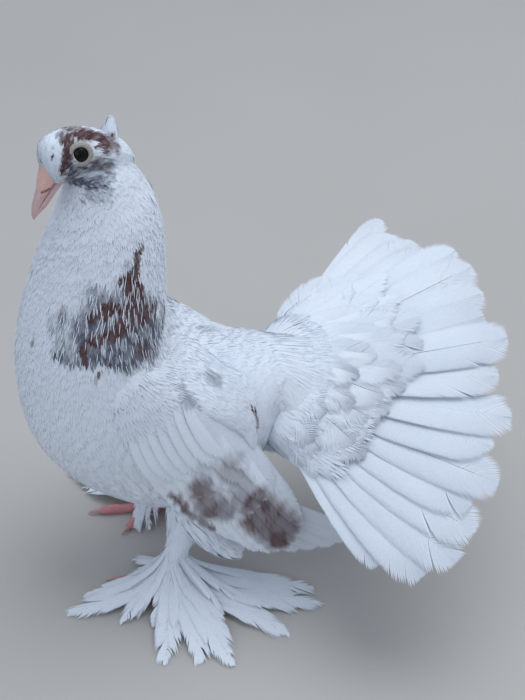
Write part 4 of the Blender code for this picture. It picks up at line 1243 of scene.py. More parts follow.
def make_body_coats(form, chance):
    """Coats of rump, belly, breast, crop and neck, the last ones with the streaked collar."""
    t, turn = form.scatter(chance, body_spacing, 120000)
    points = form.place(t, turn)
    keep = ~under_wing(points) & ~in_skull(points) & (t < 9.3 + 2.0 * chance.random(len(t)))
    t, turn = t[keep], turn[keep]
    coats = []
    for name, first, last in (("coat_rump", BODY_FIRST, 0.8), ("coat_belly", 0.8, 3.6),
                              ("coat_breast", 3.6, 6.2), ("coat_crop", 6.2, 8.3),
                              ("coat_neck", 8.3, BODY_LAST)):
        inside = (t >= first) & (t < last)
        collar = inside.copy()
        collar[inside] = in_collar(form.place(t[inside], turn[inside]))
        plain = inside & ~collar
        blades, camber, loose = (7, 0.1, 0.1) if t[inside].mean() < 7 else (5, 0.05, 0.06)
        coat = Coat(name)
        lay(coat, form, chance, t[plain], turn[plain], -1, table(PLAIN_LENGTH, t[plain]),
            table(PLAIN_HALF_WIDTH, t[plain]), (-1.0, 0.1), blades, camber=camber, loose=loose, ridge=0.04,
            fill=0.8, marks=all_marks)
        if collar.any():
            add_collar(coat, form, chance, t[collar], turn[collar])
        coats.append(coat)
    return coats


def eye_frame(side):
    """Centre and outward axis of an eye. The side is -1 for the left and 1 for the right."""
    look = math.radians(EYE_FORWARD)
    centre = head_place((0, side * EYE_SIDE, 0))
    axis = HEAD_AXES @ np.array([-math.sin(look), side * math.cos(look), 0.03])
    return centre, unit(axis)


class Hide:
    """Skin that feathers are laid on freely, with the nearest place on it and its smooth normal."""

    def __init__(self, mesh):
        self.points = np.array([v.co for v in mesh.vertices]) / MM - SHIFT
        self.normals = np.array([v.normal for v in mesh.vertices])
        faces = [tuple(p.vertices) for p in mesh.polygons]
        self.tree = BVHTree.FromPolygons([tuple(p) for p in self.points], faces)
        self.faces = np.array([f if len(f) == 4 else (*f, f[2]) for f in faces])

    def settle(self, points):
        """Nearest places on the skin, and its smooth normals there."""
        found = [self.tree.find_nearest(p) for p in points]
        places = np.array([tuple(f[0]) for f in found])
        corners = self.faces[[f[2] for f in found]]
        away = np.linalg.norm(self.points[corners] - places[:, None], axis=-1)
        weights = 1 / (away + 0.15) ** 2
        return places, unit((self.normals[corners] * weights[..., None]).sum(1))

    def scatter(self, chance, spacing, tries):
        """Places spread over the skin with at least spacing(points) between them."""
        corners = self.points[self.faces]
        area = np.linalg.norm(np.cross(corners[:, 1] - corners[:, 0], corners[:, 2] - corners[:, 0]), axis=-1)
        pick = chance.choice(len(area), tries, p=area / area.sum())
        a, b = chance.random((2, tries, 1))
        c = corners[pick]
        points = (c[:, 0] * (1 - a) + c[:, 1] * a) * (1 - b) + (c[:, 3] * (1 - a) + c[:, 2] * a) * b
        gap = spacing(points)
        points, gap = points[gap > 0], gap[gap > 0]
        return points[spread_out(points, gap)]


def lay_on(coat, hide, chance, roots, flow, length, half_width, lifts, blades, raised, camber=0.1,
           loose=0.12, tip_white=0.0):
    """Feathers laid on the skin along a flow, each a fan of blades from one root that is raised off it."""
    n = len(roots)
    raised = np.repeat(raised, blades)[:, None]
    size = n * blades
    stations = 3
    length = np.broadcast_to(length, n) * chance.uniform(0.85, 1.15, n)
    half_width = np.broadcast_to(half_width, n)
    wide = np.repeat(half_width, blades)
    spread = (np.linspace(-1, 1, blades)[None] + chance.normal(0, 0.08, (n, blades))).ravel()
    reach = np.repeat(length, blades) * (1 - EDGE_SHORTER * spread ** 2) * chance.uniform(0.9, 1.08, size)
    stray = np.repeat(chance.normal(0, 0.08, n), blades)
    share = np.linspace(0, 1, stations)
    p = np.repeat(roots, blades, axis=0)
    centre = np.empty((size, stations, 3))
    up = np.empty((size, stations, 3))
    for k in range(stations):
        place, normal = hide.settle(p)
        way = flow(place)
        way = unit(way - normal * (way * normal).sum(-1, keepdims=True))
        side = np.cross(way, normal)
        if k == 0:
            place = place + side * (spread * wide * 0.3)[:, None]
        centre[:, k] = place
        up[:, k] = normal
        turn = stray + spread * 0.7 * wide / reach
        p = place + (way + side * turn[:, None]) * (reach / (stations - 1))[:, None]
    low, high = lifts
    stir = np.repeat(chance.normal(0, 1, n) * loose, blades)[:, None]
    lift = low + (high - low) * share ** 0.8 - camber * spread[:, None] ** 2 * share + stir * share
    lift = lift + raised * (0.7 + 0.3 * share)
    centre += up * lift[..., None]
    local = head_local(roots)
    round_head = np.arctan2(local[:, 1], local[:, 2] + 6) / (2 * math.pi) + 0.5
    root_uv = np.stack([round_head, (local[:, 0] + 45) / 100], -1)
    add_fans(coat, chance, centre, up, half_width, blades, 0.75, 0.04, all_marks, root_uv, tip_white)


# Corner of the mouth in the head's own frame, and how far the short feathers of the face reach from it.
GAPE = (-14.0, 0.0, -6.0)
FACE_REACH = 27.0


def above_neck(points):
    """Height over the chord of the neck where the coats of the head begin."""
    low, high = BODY_CHORDS[11][2:4], BODY_CHORDS[11][0:2]
    slope = (high[1] - low[1]) / (high[0] - low[0])
    return points[:, 2] - low[1] - (points[:, 0] - low[0]) * slope


def in_bill(points):
    """True where a point lies inside the bill."""
    local = head_local(points)
    return (local[:, 0] < -13.5) & (np.abs(local[:, 1]) < 4.6) & (local[:, 2] < 1.2) & (local[:, 2] > -13.5)


def head_flow(points):
    """Way that the feathers lie: back from the bill over the face, then down the neck."""
    from_bill = points - head_place(GAPE)
    away = np.linalg.norm(from_bill, axis=-1, keepdims=True)
    down = smooth(away, 16, 40)
    return from_bill / away * (1 - down) + np.array([0.12, 0, -1.0]) * down


def make_head_coats(hide, chance):
    def spacing(points):
        away = np.linalg.norm(points - head_place(GAPE), axis=-1)
        gap = np.interp(away, (4, 12, 27, 45), (0.75, 0.95, 1.35, 1.8))
        border = above_neck(points) > -20 * chance.random(len(points))
        return np.where(border & ~in_bill(points), gap, 0)

    roots = hide.scatter(chance, spacing, 400000)
    keep = np.ones(len(roots), bool)
    for side in (-1, 1):
        centre, axis = eye_frame(side)
        rest = roots - centre
        depth = rest @ axis
        away = np.linalg.norm(rest - depth[:, None] * axis, axis=-1)
        keep &= ~((away < BARE_RADIUS) & (depth > 0))
    roots = roots[keep]
    away = np.linalg.norm(roots - head_place(GAPE), axis=-1)
    face = Coat("coat_face")
    nape = Coat("coat_nape")
    near = away < FACE_REACH
    length = np.interp(away[near], (4, 12, 27), (2.2, 3.6, 5.5))
    wide = np.interp(away[near], (4, 27), (0.6, 0.95))
    raised = 1.5 * (1 - smooth(above_neck(roots), -2, 15))
    lay_on(face, hide, chance, roots[near], head_flow, length, wide, (-0.15, 0.75), 3, raised[near])
    length = np.interp(away[~near], (27, 45), (6.0, 9.0))
    lay_on(nape, hide, chance, roots[~near], head_flow, length, 1.7, (-0.5, 0.4), 4, raised[~near],
           camber=0.05, loose=0.08, tip_white=0.3)
    return face, nape


def turned(profile, centre, axis, sides):
    """Profile of radius and place along the axis, turned about it. Returns the points and their angles."""
    axis = unit(axis)
    side = unit(np.cross(axis, UP if abs(axis[2]) < 0.9 else ACROSS))
    other = np.cross(axis, side)
    profile = np.asarray(profile, float)
    a = circle(sides)
    ring = side * np.cos(a)[:, None] + other * np.sin(a)[:, None]
    points = centre + axis * profile[:, None, 1:2] + ring[None] * profile[:, None, 0:1]
    return points, a


def grid_faces(rows, sides, closed_rows=False):
    faces = []
    for i in range(rows if closed_rows else rows - 1):
        k = (i + 1) % rows
        for j in range(sides):
            m = (j + 1) % sides
            faces.append((i * sides + j, i * sides + m, k * sides + m))
            faces.append((i * sides + j, k * sides + m, k * sides + j))
    return faces


def closed_loft(name, rings):
    """Closed smooth body through rings of equal count, with each end closed to its middle."""
    rings = np.asarray(rings, float)
    rows, sides = rings.shape[:2]
    points = np.concatenate([rings.reshape(-1, 3), rings[0].mean(0)[None], rings[-1].mean(0)[None]])
    faces = grid_faces(rows, sides)
    first = rows * sides
    base = (rows - 1) * sides
    for j in range(sides):
        m = (j + 1) % sides
        faces.append((first, m, j))
        faces.append((first + 1, base + j, base + m))
    piece = mesh_from(name, points, faces)
    outward(piece)
    return piece


def outward(piece):
    """Turns all faces outward and shades them smooth."""
    shape = bmesh.new()
    shape.from_mesh(piece.data)
    bmesh.ops.recalc_face_normals(shape, faces=shape.faces)
    shape.to_mesh(piece.data)
    shape.free()
    piece.data.shade_smooth()


def keep_field(piece, name, values):
    """Keeps a number for each point of a piece under that name."""
    field = piece.data.attributes.new(name, "FLOAT", "POINT")
    field.data.foreach_set("value", np.asarray(values, np.float32))


def make_eye(name, side):
    """Ball with a cornea that bulges over the iris. The field from_middle is the distance from its axis."""
    centre, axis = eye_frame(side)
    steps = np.linspace(0.02, math.pi - 0.02, 40)
    radius = EYE_RADIUS * np.sin(steps)
    place = EYE_RADIUS * np.cos(steps)
    bulge = 0.35 * np.exp(-(radius / 3.0) ** 2) * (place > 0)
    points, _ = turned(np.stack([radius, place + bulge], -1), centre, axis, 48)
    piece = closed_loft(name, points)
    away = np.concatenate([np.repeat(radius + 9.0 * (place < 0), 48), [0, 9]])
    keep_field(piece, "from_middle", away)
    return piece


def make_eyelid(name, side):
    """Ring of bare skin with fine concentric folds."""
    centre, axis = eye_frame(side)
    profile = []
    for k in range(28):
        a = 2 * math.pi * k / 28
        radius = LID_MIDDLE + LID_HALF_WIDTH * math.cos(a)
        place = LID_PLACE + LID_HALF_HEIGHT * math.sin(a) - LID_LEAN * math.cos(a)
        if math.sin(a) > 0:
            place += 0.1 * math.sin(a * 9)
        profile.append((radius, place))
    points, a = turned(profile, centre, axis, 72)
    points = points + axis * (0.08 * np.sin(a * 13) + 0.06 * np.sin(a * 21 + 1))[None, :, None]
    faces = grid_faces(len(profile), 72, closed_rows=True)
    piece = mesh_from(name, points.reshape(-1, 3), faces)
    outward(piece)
    return piece


def bill_rings(rows, sides, top, bottom, wide, flat=0):
    """Rings of a mandible. flat is 1 where its upper side is the mouth and -1 where its lower side is."""
    a = 2 * math.pi * (np.arange(sides) + 0.5) / sides
    middle = ((top + bottom) / 2)[:, None]
    half = ((top - bottom) / 2)[:, None]
    mouth = np.cos(a) * flat > 0
    y = wide[:, None] * np.sign(np.sin(a)) * np.abs(np.sin(a)) ** np.where(mouth, 0.35, 0.9)
    power = np.where(mouth, 0.35, 1.0)
    z = middle + half * np.sign(np.cos(a)) * np.abs(np.cos(a)) ** power
    x = np.broadcast_to(rows[:, 0:1], y.shape)
    return np.stack([x, y, z], -1)


def with_nostril(rings):
    """Rings with a slit pressed into both sides under the cere's swelling."""
    height, half_height, press = NOSTRIL
    ahead = -rings[..., 0]
    deep = np.exp(-((rings[..., 2] - height) / half_height) ** 2) * smooth(ahead, 19.4, 20.4)
    deep = deep * (1 - smooth(ahead, 24.4, 25.2))
    rings[..., 1] *= 1 - press * deep
    return rings


def make_bill():
    """Upper and lower mandible and the powdery cere with its nostril slits."""
    rows = finer(BILL, 70)
    x = rows[:, 0]
    hook = np.interp(-x, (26, 33.6), (0, 0.8))
    top = rows[:, 1] + 0.7 * np.interp(-x, (20, 25, 31, 33.6), (0, 1, 1, 0))
    rings = bill_rings(rows, 96, top, rows[:, 2] - hook, rows[:, 4], -1)
    upper = closed_loft("beak_top", head_place(with_nostril(rings)))
    low = rows[:65]
    chin = low[:, 3] + np.interp(-low[:, 0], (13, 19, 26), (2.4, 1.6, -0.2))
    rings = bill_rings(low, 40, low[:, 2] - 0.03, chin, low[:, 4] * 0.96, 1)
    lower = closed_loft("beak_bottom", head_place(rings))
    share = np.linspace(0, 1, 40)
    place = BILL[0][0] + (CERE_END - BILL[0][0]) * share
    rows = along(BILL, np.interp(-place, [-r[0] for r in BILL], range(len(BILL))))
    rows[:, 0] = place
    bulge = np.sin(math.pi * np.minimum(share * 0.7 + 0.25, 1.0)) ** 0.8 * 1.9
    wide = rows[:, 4] + bulge * 0.75 + 0.05 - 1.0 * share ** 8
    rings = bill_rings(rows, 96, rows[:, 1] + bulge + 0.05, rows[:, 2] + 1.4, wide, -1)
    cere = closed_loft("cere_skin", head_place(with_nostril(rings)))
    return upper, lower, cere


def tube_rings(path, radii, sides, ridges=0.0, flat=1.0):
    """Rings round a path. Ridges swell every second ring on top, and flat is the height over the width."""
    path = np.asarray(path, float)
    ahead = unit(np.gradient(path, axis=0))
    level = unit(np.cross(ahead, np.broadcast_to(UP, ahead.shape) + 1e-3))
    steep = unit(np.cross(ahead, np.broadcast_to(ACROSS, ahead.shape)))
    side = np.where(np.abs(ahead[:, 2:3]) > 0.9, steep, level)
    other = np.cross(side, ahead)
    a = circle(sides)
    radii = np.asarray(radii, float)[:, None]
    every_second = np.sin(np.arange(len(path)) * math.pi / 2)[:, None] ** 2
    r = radii * (1 + ridges * np.maximum(np.sin(a), 0)[None] * every_second)
    return (path[:, None] + side[:, None] * (r * np.cos(a))[..., None]
            + other[:, None] * (r * np.sin(a) * flat)[..., None])


# Toe from the pad to its tip: share of its length, height and radius. The claw's rows say the same.
TOE = ((0.0, 4.6, 3.65), (0.28, 3.6, 2.97), (0.55, 2.4, 2.57), (0.78, 2.7, 2.65), (1.0, 1.9, 1.94))
CLAW = ((0, 0.1, 1.45), (0.35, 0.55, 1.2), (0.7, 0.1, 0.85), (1.0, -1.15, 0.25))


def make_foot(side_name):
    """Scaly toes flattened on the floor, joined at the pad, and their claws."""
    x, y = FEET[side_name]
    mirror = -1 if y > 0 else 1
    parts = []
    claws = []
    pad = [(x, y, z) for z in np.linspace(0.2, ANKLE_HEIGHT, 12)]
    radii = np.interp(np.linspace(0, 1, len(pad)), (0, 0.4, 0.7, 1), (4.7, 5.2, 4.6, 4.4))
    parts.append(tube_rings(pad, radii, 28))
    for toe_name, degrees, length in TOES:
        direction = mirror * math.radians(degrees + FOOT_TURN[side_name])
        ahead = np.array([-math.cos(direction), math.sin(direction), 0])
        rows = finer(TOE, 49)
        path = np.array([x, y, 0]) + ahead * length * rows[:, 0:1] + UP * rows[:, 1:2]
        parts.append(tube_rings(path, rows[:, 2], 20, ridges=0.07))
        size = CLAW_LENGTH * (0.85 if toe_name in ("inner", "hind") else 1.0)
        rows = finer(CLAW, 22)
        claw = path[-1] + ahead * 0.1 + ahead * size * rows[:, 0:1] + UP * rows[:, 1:2]
        name = "claw_%s_%s" % (side_name, toe_name)
        claws.append((closed_loft(name + "_horn", tube_rings(claw, rows[:, 2], 18)), name))
    for rings in parts:
        rings[..., 2] = np.maximum(rings[..., 2], 0.02)
    pieces = [closed_loft("toe", rings) for rings in parts]
    foot = join_solid("foot_%s_skin" % side_name, pieces)
    return foot, claws


def join_solid(name, pieces):
    """One closed surface of overlapping closed meshes."""
    base = pieces[0]
    base.name = name
    group = bpy.data.collections.new("joined")
    bpy.context.scene.collection.children.link(group)
    for other in pieces[1:]:
        for owner in list(other.users_collection):
            owner.objects.unlink(other)
        group.objects.link(other)
    modifier = base.modifiers.new("join", "BOOLEAN")
    modifier.operation = "UNION"
    modifier.operand_type = "COLLECTION"
    modifier.collection = group
    modifier.solver = "MANIFOLD"
    return baked(base, pieces[1:], group)


def baked(base, spent=(), group=None):
    """Applies the modifiers of a piece and removes the meshes that it was made from."""
    depsgraph = bpy.context.evaluated_depsgraph_get()
    depsgraph.update()
    mesh = bpy.data.meshes.new_from_object(base.evaluated_get(depsgraph))
    base.modifiers.clear()
    base.data = mesh
    for other in spent:
        bpy.data.objects.remove(other)
    if group:
        bpy.data.collections.remove(group)
    base.data.shade_smooth()
    return base


# Leg under its feathers: backward and inward from the foot, height and radius. It flares over the toes.
LEG_PATH = (
    (11, 2, 74, 11.5),
    (9, 2, 56, 10.0),
    (5.5, 0, 38, 6.5),
    (2, 0, 25, 5.0),
    (0, 0, 17, 5.8),
    (0, 0, 11, 6.6),
    (0, 0, 5, 6.0),
)
# Fluff behind the thigh, from the flank to its tip under the wing: place from the foot and radius.
FLANK = ((2, 4, 80, 9.0), (9, 3, 64, 12.0), (16, 0, 52, 12.5), (24, -2, 39.5, 10.5),
         (31, -3, 30.5, 7.0), (35.5, -3, 25.5, 1.5))


def leg_tube(path, count, side_name, flat=1.0):
    """Form round a path of the leg, whose rows count from the foot."""
    x, y = FEET[side_name]
    out = math.copysign(1, y)
    rows = finer(path, count)
    middle = np.stack([x + rows[:, 0], y - out * rows[:, 1], rows[:, 2]], -1)
    return Form(tube_rings(middle, rows[:, 3], 48, flat=flat), 0.0, len(path) - 1.0)


def leg_form(side_name):
    return leg_tube(LEG_PATH, 60, side_name)


def make_leg_coat(name, side_name, chance):
    """Feathers of the leg, shorter near the toes, where they fall over the muff like a skirt."""
    coat = Coat(name)
    form = leg_form(side_name)
    t, turn = form.scatter(chance, lambda t, turn: np.where(t < 0.3, 0, 2.0), 6000)
    for low, high, length, lift in ((0, 2, 14, 1.0), (2, 3.2, 15, 1.2), (3.2, 4, 10, 1.5), (4, 4.6, 7, 1.2)):
        inside = (t >= low) & (t < high)
        lay(coat, form, chance, t[inside], turn[inside], 1, length, 2.6, (-0.5, lift), 5, camber=0.2,
            stations=4, loose=0.5)
    return coat


def make_flank(name, side_name, chance):
    """Loose fluff behind the thigh on a cushion of its own."""
    form = leg_tube(FLANK, 50, side_name, flat=0.8)
    coat = Coat(name)
    t, turn = form.scatter(chance, lambda t, turn: np.where(t < 0.6, 0, 2.8), 6000)
    lay(coat, form, chance, t, turn, 1, 17.0, 3.4, (-1.0, 1.6), 5, loose=0.8, camber=0.2, fill=0.6,
        stations=4)
    return coat, cushion_under(name + "_cushion", form, 1.0)


def plain_fields(piece, brown=0.0, slate=0.0):
    """Fields of the plumage colour on a piece without blades."""
    count = len(piece.data.vertices)
    for key, value in (("brown", brown), ("slate", slate), ("tone", 0.3), ("reach", 0.2), ("quill", 0.0)):
        keep_field(piece, key, np.broadcast_to(value, count))


# Depth of the skin under the coat, its grain, and the row of the body where it starts.
SKIN_DEPTH = 1.9
SKIN_GRAIN = 1.8
SKIN_FROM = 48


def make_skin(body, skull):
    """One skin for torso, neck, head and legs, inside them by the coat's depth."""
    points, normal = body.points[SKIN_FROM::4, ::3], body.normal[SKIN_FROM::4, ::3]
    pieces = [closed_loft("skin_body", points - normal * SKIN_DEPTH),
              closed_loft("skin_head", skull.points[::3, ::2] - skull.normal[::3, ::2])]
    for side_name in FEET:
        form = leg_form(side_name)
        pieces.append(closed_loft("skin_leg", form.points[::2, ::2] - form.normal[::2, ::2] * 0.5))
    skin = join_solid("skin", pieces)
    modifier = skin.modifiers.new("grain", "REMESH")
    modifier.mode = "VOXEL"
    modifier.voxel_size = SKIN_GRAIN * MM
    modifier = skin.modifiers.new("even", "SMOOTH")
    modifier.iterations = 4
    baked(skin)
    points = np.array([v.co for v in skin.data.vertices]) / MM - SHIFT
    plain_fields(skin, *all_marks(points))
    return skin


class Nodes:
    """Short hand for placing shader nodes in a tree."""

    def __init__(self, tree):
        self.tree = tree

    def add(self, kind, **settings):
        node = self.tree.nodes.new(kind)
        for key, value in settings.items():
            setattr(node, key, value)
        return node

    def link(self, out, into):
        self.tree.links.new(out, into)

    def field(self, name):
        return self.add("ShaderNodeAttribute", attribute_name=name).outputs["Fac"]

    def math(self, operation, a, b=0.0):
        node = self.add("ShaderNodeMath", operation=operation)
        for socket, value in zip(node.inputs, (a, b)):
            if isinstance(value, (int, float)):
                socket.default_value = value
            else:
                self.link(value, socket)
        return node.outputs[0]

    def mix(self, factor, a, b, blend="MIX"):
        node = self.add("ShaderNodeMix", data_type="RGBA", blend_type=blend)
        for socket, value in zip((node.inputs[0], node.inputs[6], node.inputs[7]), (factor, a, b)):
            if isinstance(value, (int, float)):
                socket.default_value = value
            elif isinstance(value, tuple):
                socket.default_value = (*value, 1)
            else:
                self.link(value, socket)
        return node.outputs[2]

    def noise(self, scale, detail=2.0, vector=None):
        node = self.add("ShaderNodeTexNoise")
        node.inputs["Scale"].default_value = scale
        node.inputs["Detail"].default_value = detail
        if vector is not None:
            self.link(vector, node.inputs["Vector"])
        return node.outputs[0]


def shared_group(name, colours, numbers, make):
    """Node group that makes a colour and a relief from colours and numbers."""
    group = bpy.data.node_groups.new(name, "ShaderNodeTree")
    for in_out, kind, labels in (("INPUT", "Color", colours), ("INPUT", "Float", numbers),
                                 ("OUTPUT", "Color", ("Colour",)), ("OUTPUT", "Float", ("Relief",))):
        for label in labels:
            group.interface.new_socket(label, in_out=in_out, socket_type="NodeSocket" + kind)
    nodes = Nodes(group)
    entry = group.nodes.new("NodeGroupInput")
    leave = group.nodes.new("NodeGroupOutput")
    make(nodes, entry.outputs, leave.inputs)
    return group


# Slate is the collar's grey, darkened further to paint the shade in the gaps between its white streaks.
# White and Shade are tinted cool blue, which paints the sky's bluish light into the feathers' own colour.
PLUMAGE_COLOURS = {
    "White": (0.82, 0.87, 0.95), "Shade": (0.76, 0.81, 0.90), "Slate": (0.10, 0.11, 0.155),
    "Brown dark": (0.052, 0.018, 0.023), "Brown light": (0.20, 0.12, 0.125), "Shaft": (0.12, 0.11, 0.12),
}


def plumage_group():
    """Colour and fine relief of feathers from the fields that each blade carries."""
    def make(nodes, given, out):
        coordinates = nodes.add("ShaderNodeTexCoord").outputs["Object"]
        patchy = nodes.noise(70.0, 3.0, coordinates)
        fine = nodes.noise(900.0, 2.0, coordinates)
        shade = nodes.math("ADD", nodes.math("MULTIPLY", nodes.field("tone"), 0.6),
                           nodes.math("MULTIPLY", patchy, 0.4))
        white = nodes.mix(shade, given["Shade"], given["White"])
        slate = nodes.mix(nodes.field("slate"), white, given["Slate"])
        rust = nodes.mix(nodes.field("tone"), given["Brown dark"], given["Brown light"])
        marked = nodes.mix(nodes.field("brown"), slate, rust)
        shaft = nodes.mix(nodes.field("quill"), marked, given["Shaft"])
        speck = nodes.math("MULTIPLY_ADD", fine, 0.16)
        speck.node.inputs[2].default_value = 0.92
        colour = nodes.mix(1.0, shaft, speck, "MULTIPLY")
        nodes.link(colour, out["Colour"])
        nodes.link(fine, out["Relief"])
    return shared_group("plumage", PLUMAGE_COLOURS, (), make)


def grain_group():
    """Mottled skin or horn: a colour between two, and a relief of bumps and fine grain."""
    def make(nodes, given, out):
        coordinates = nodes.add("ShaderNodeTexCoord").outputs["Object"]
        noise = nodes.add("ShaderNodeTexNoise")
        nodes.link(coordinates, noise.inputs["Vector"])
        nodes.link(given["Size"], noise.inputs["Scale"])
        noise.inputs["Detail"].default_value = 4.0
        cells = nodes.add("ShaderNodeTexVoronoi")
        nodes.link(coordinates, cells.inputs["Vector"])
        nodes.link(given["Cells"], cells.inputs["Scale"])
        nodes.link(nodes.mix(noise.outputs[0], given["Light"], given["Dark"]), out["Colour"])
        height = nodes.math("ADD", nodes.math("MULTIPLY", noise.outputs[0], 0.5), cells.outputs["Distance"])
        nodes.link(height, out["Relief"])
    return shared_group("skin grain", ("Light", "Dark"), ("Size", "Cells"), make)


PLUMAGE = plumage_group()
GRAIN = grain_group()


def new_material(name, roughness):
    material = bpy.data.materials.new(name)
    material.use_nodes = True
    shader = material.node_tree.nodes["Principled BSDF"]
    shader.inputs["Roughness"].default_value = roughness
    return material, Nodes(material.node_tree), shader


def grouped_material(name, roughness, tree, values, bump_strength, bump_size):
    """Material whose colour and relief come from a shared node group with these values."""
    material, nodes, shader = new_material(name, roughness)
    group = nodes.add("ShaderNodeGroup", node_tree=tree)
    for label, value in values.items():
        group.inputs[label].default_value = (*value, 1) if isinstance(value, tuple) else value
    bump = nodes.add("ShaderNodeBump")
    bump.inputs["Strength"].default_value = bump_strength
    bump.inputs["Distance"].default_value = bump_size
    nodes.link(group.outputs["Relief"], bump.inputs["Height"])
    nodes.link(group.outputs["Colour"], shader.inputs["Base Color"])
    nodes.link(bump.outputs[0], shader.inputs["Normal"])
    return material, shader


def feather_material():
    material, shader = grouped_material("white_plumage", 0.75, PLUMAGE, PLUMAGE_COLOURS, 0.15, 0.0002)
    shader.inputs["Specular IOR Level"].default_value = 0.25
    shader.inputs["Sheen Weight"].default_value = 0.15
    return material


# Skin and horn: name, light and dark colour, scales of the mottling and of the bumps, roughness, height of
# the bumps in metres and how much light goes under the surface.
GRAINS = (
    ("bill_flesh", (0.62, 0.43, 0.43), (0.52, 0.34, 0.35), 400.0, 900.0, 0.45, 0.0001, 0.3),
    ("cere_powder", (0.74, 0.49, 0.43), (0.64, 0.39, 0.35), 500.0, 1500.0, 0.8, 0.00015, 0.3),
    ("bare_ring", (0.45, 0.42, 0.39), (0.28, 0.26, 0.245), 700.0, 1600.0, 0.6, 0.0001, 0.2),
    ("toe_skin", (0.70, 0.31, 0.33), (0.55, 0.21, 0.23), 300.0, 700.0, 0.5, 0.0003, 0.2),
    ("claw_horn", (0.62, 0.42, 0.40), (0.48, 0.30, 0.30), 300.0, 900.0, 0.35, 0.00005, 0.2),
)


def grain_material(name, light, dark, size, cells, roughness, bump_size, subsurface):
    values = {"Light": light, "Dark": dark, "Size": size, "Cells": cells}
    material, shader = grouped_material(name, roughness, GRAIN, values, 0.5, bump_size)
    shader.inputs["Subsurface Weight"].default_value = subsurface
    shader.inputs["Subsurface Radius"].default_value = (0.003, 0.0012, 0.0008)
    return material


def eye_material():
    material, nodes, shader = new_material("dark_eye", 0.4)
    away = nodes.field("from_middle")
    fibres = nodes.noise(1500.0, 2.0, nodes.add("ShaderNodeTexCoord").outputs["Object"])
    iris = nodes.mix(fibres, (0.006, 0.003, 0.003), (0.014, 0.007, 0.005))
    pupil = nodes.add("ShaderNodeMapRange", interpolation_type="SMOOTHSTEP")
    pupil.inputs["From Min"].default_value = 2.0
    pupil.inputs["From Max"].default_value = 2.3
    nodes.link(away, pupil.inputs["Value"])
    nodes.link(nodes.mix(pupil.outputs[0], (0.001, 0.001, 0.0012), iris), shader.inputs["Base Color"])
    shader.inputs["Specular IOR Level"].default_value = 0.05
    shader.inputs["Coat Weight"].default_value = 0.3
    shader.inputs["Coat Roughness"].default_value = 0.02
    return material


def floor_and_light():
    """Plain pale floor, a soft sky and two soft lamps."""
    reach = 2.5
    mesh = bpy.data.meshes.new("floor")
    mesh.from_pydata([(-reach, -reach, 0), (reach, -reach, 0), (reach, reach, 0), (-reach, reach, 0)], [],
                     [(0, 1, 2, 3)])
    floor = placed("floor", mesh)
    material, nodes, shader = new_material("pale_floor", 0.9)
    soft = nodes.noise(6.0, 2.0, nodes.add("ShaderNodeTexCoord").outputs["Object"])
    nodes.link(nodes.mix(soft, (0.50, 0.48, 0.46), (0.54, 0.52, 0.50)), shader.inputs["Base Color"])
    mesh.materials.append(material)
    world = bpy.data.worlds.new("soft_sky")
    world.use_nodes = True
    sky = world.node_tree.nodes["Background"]
    sky.inputs["Color"].default_value = (0.80, 0.89, 1.0, 1)
    sky.inputs["Strength"].default_value = 0.57
    bpy.context.scene.world = world
    for name, place, size, power, colour in (
            ("key", (0.25, 0.1, 1.25), 1.2, 7.8, (0.92, 0.96, 1.0)),
            ("fill", (-0.9, -0.9, 0.7), 1.2, 2.0, (0.85, 0.92, 1.0))):
        lamp = bpy.data.lights.new(name, "AREA")
        lamp.shape = "DISK"
        lamp.size = size
        lamp.energy = power
        lamp.color = colour
        back = unit(np.array(place) - (0, 0, 0.12))
        right = unit(np.cross(UP, back))
        aimed(name, lamp, right, np.cross(back, right), back, place)


def photo_camera():
    """Camera of the photograph."""
    a = math.radians(VIEW_TURN)
    e = math.radians(VIEW_HEIGHT)
    back = np.array([math.sin(a) * math.cos(e), -math.cos(a) * math.cos(e), math.sin(e)])
    right = np.array([math.cos(a), math.sin(a), 0])
    up = np.array([-math.sin(a) * math.sin(e), math.cos(a) * math.sin(e), math.cos(e)])
    place = (np.asarray(VIEW_TARGET) + SHIFT + back * VIEW_DISTANCE) * MM
    camera = bpy.data.cameras.new("camera")
    camera.sensor_fit = "VERTICAL"
    camera.sensor_height = 24.0
    camera.lens = VIEW_SCALE * VIEW_DISTANCE / PICTURE_HEIGHT * camera.sensor_height
    camera.clip_start = 0.01
    camera.clip_end = 20.0
    bpy.context.scene.camera = aimed("camera", camera, right, up, back, place)


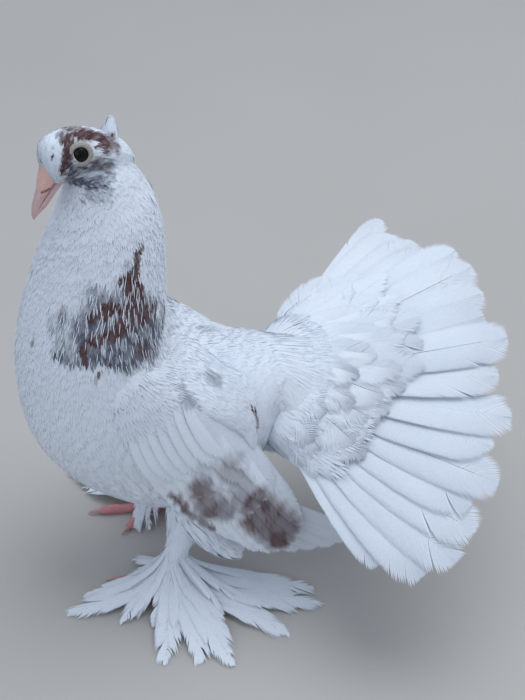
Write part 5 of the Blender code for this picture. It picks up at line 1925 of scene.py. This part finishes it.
def build():
    seeded = np.random.default_rng
    plumage = feather_material()
    flesh, powder, bare, red, horn = [grain_material(*row) for row in GRAINS]
    eye = eye_material()

    def wear(coat, *nodes):
        coat.build(plumage, "plumage", *nodes)

    def wear_on_cushion(pair, *nodes):
        coat, cushion = pair
        wear(coat, *nodes)
        dress(cushion, plumage, "plumage")

    body = make_body_form()
    skin = make_skin(body, make_skull_form())
    dress(skin, plumage, "plumage", "torso", "neck", "head", "leg_left", "leg_right")
    for coat in (*make_body_coats(body, seeded(11)), *make_head_coats(Hide(skin.data), seeded(12))):
        wear(coat)
    wear(make_tail(seeded(13)), "tail")
    wear(make_tail_coverts(seeded(14)))
    wear_on_cushion(make_fluff(seeded(16)))
    wear_on_cushion(make_crest(seeded(15)), "crest")
    for side_name, side in (("left", -1), ("right", 1)):
        seed = 20 + side
        wear(make_wing("wing_%s_feathers" % side_name, side, seeded(seed)), "wing_" + side_name)
        wear(make_primaries("primaries_%s_feathers" % side_name, side, seeded(seed + 10)),
             "primaries_" + side_name)
        wear(make_muff("muff_%s_plumes" % side_name, side_name, seeded(seed + 20)), "muff_" + side_name)
        wear(make_leg_coat("leg_%s_coat" % side_name, side_name, seeded(seed + 30)))
        wear(make_shoulder("shoulder_" + side_name, side, seeded(seed + 60)))
        for pair in (make_cape("cape_" + side_name, side, seeded(seed + 40)),
                     make_lining("lining_" + side_name, side, seeded(seed + 70)),
                     make_flank("flank_" + side_name, side_name, seeded(seed + 50))):
            wear_on_cushion(pair)
        dress(make_eye("eyeball_" + side_name, side), eye, "eye", "eye_" + side_name)
        dress(make_eyelid("eye_ring_" + side_name, side), bare, "bare_skin", "eyelid_" + side_name)
        foot, claws = make_foot(side_name)
        dress(foot, red, "foot_skin", "foot_" + side_name)
        for claw, node in claws:
            dress(claw, horn, "claw", node)
    upper, lower, cere = make_bill()
    dress(upper, flesh, "bill", "beak_upper")
    dress(lower, flesh, "bill", "beak_lower")
    dress(cere, powder, "bill", "cere")
    photo_camera()
    floor_and_light()


build()
view = bpy.context.scene.view_settings
view.view_transform = "Standard"
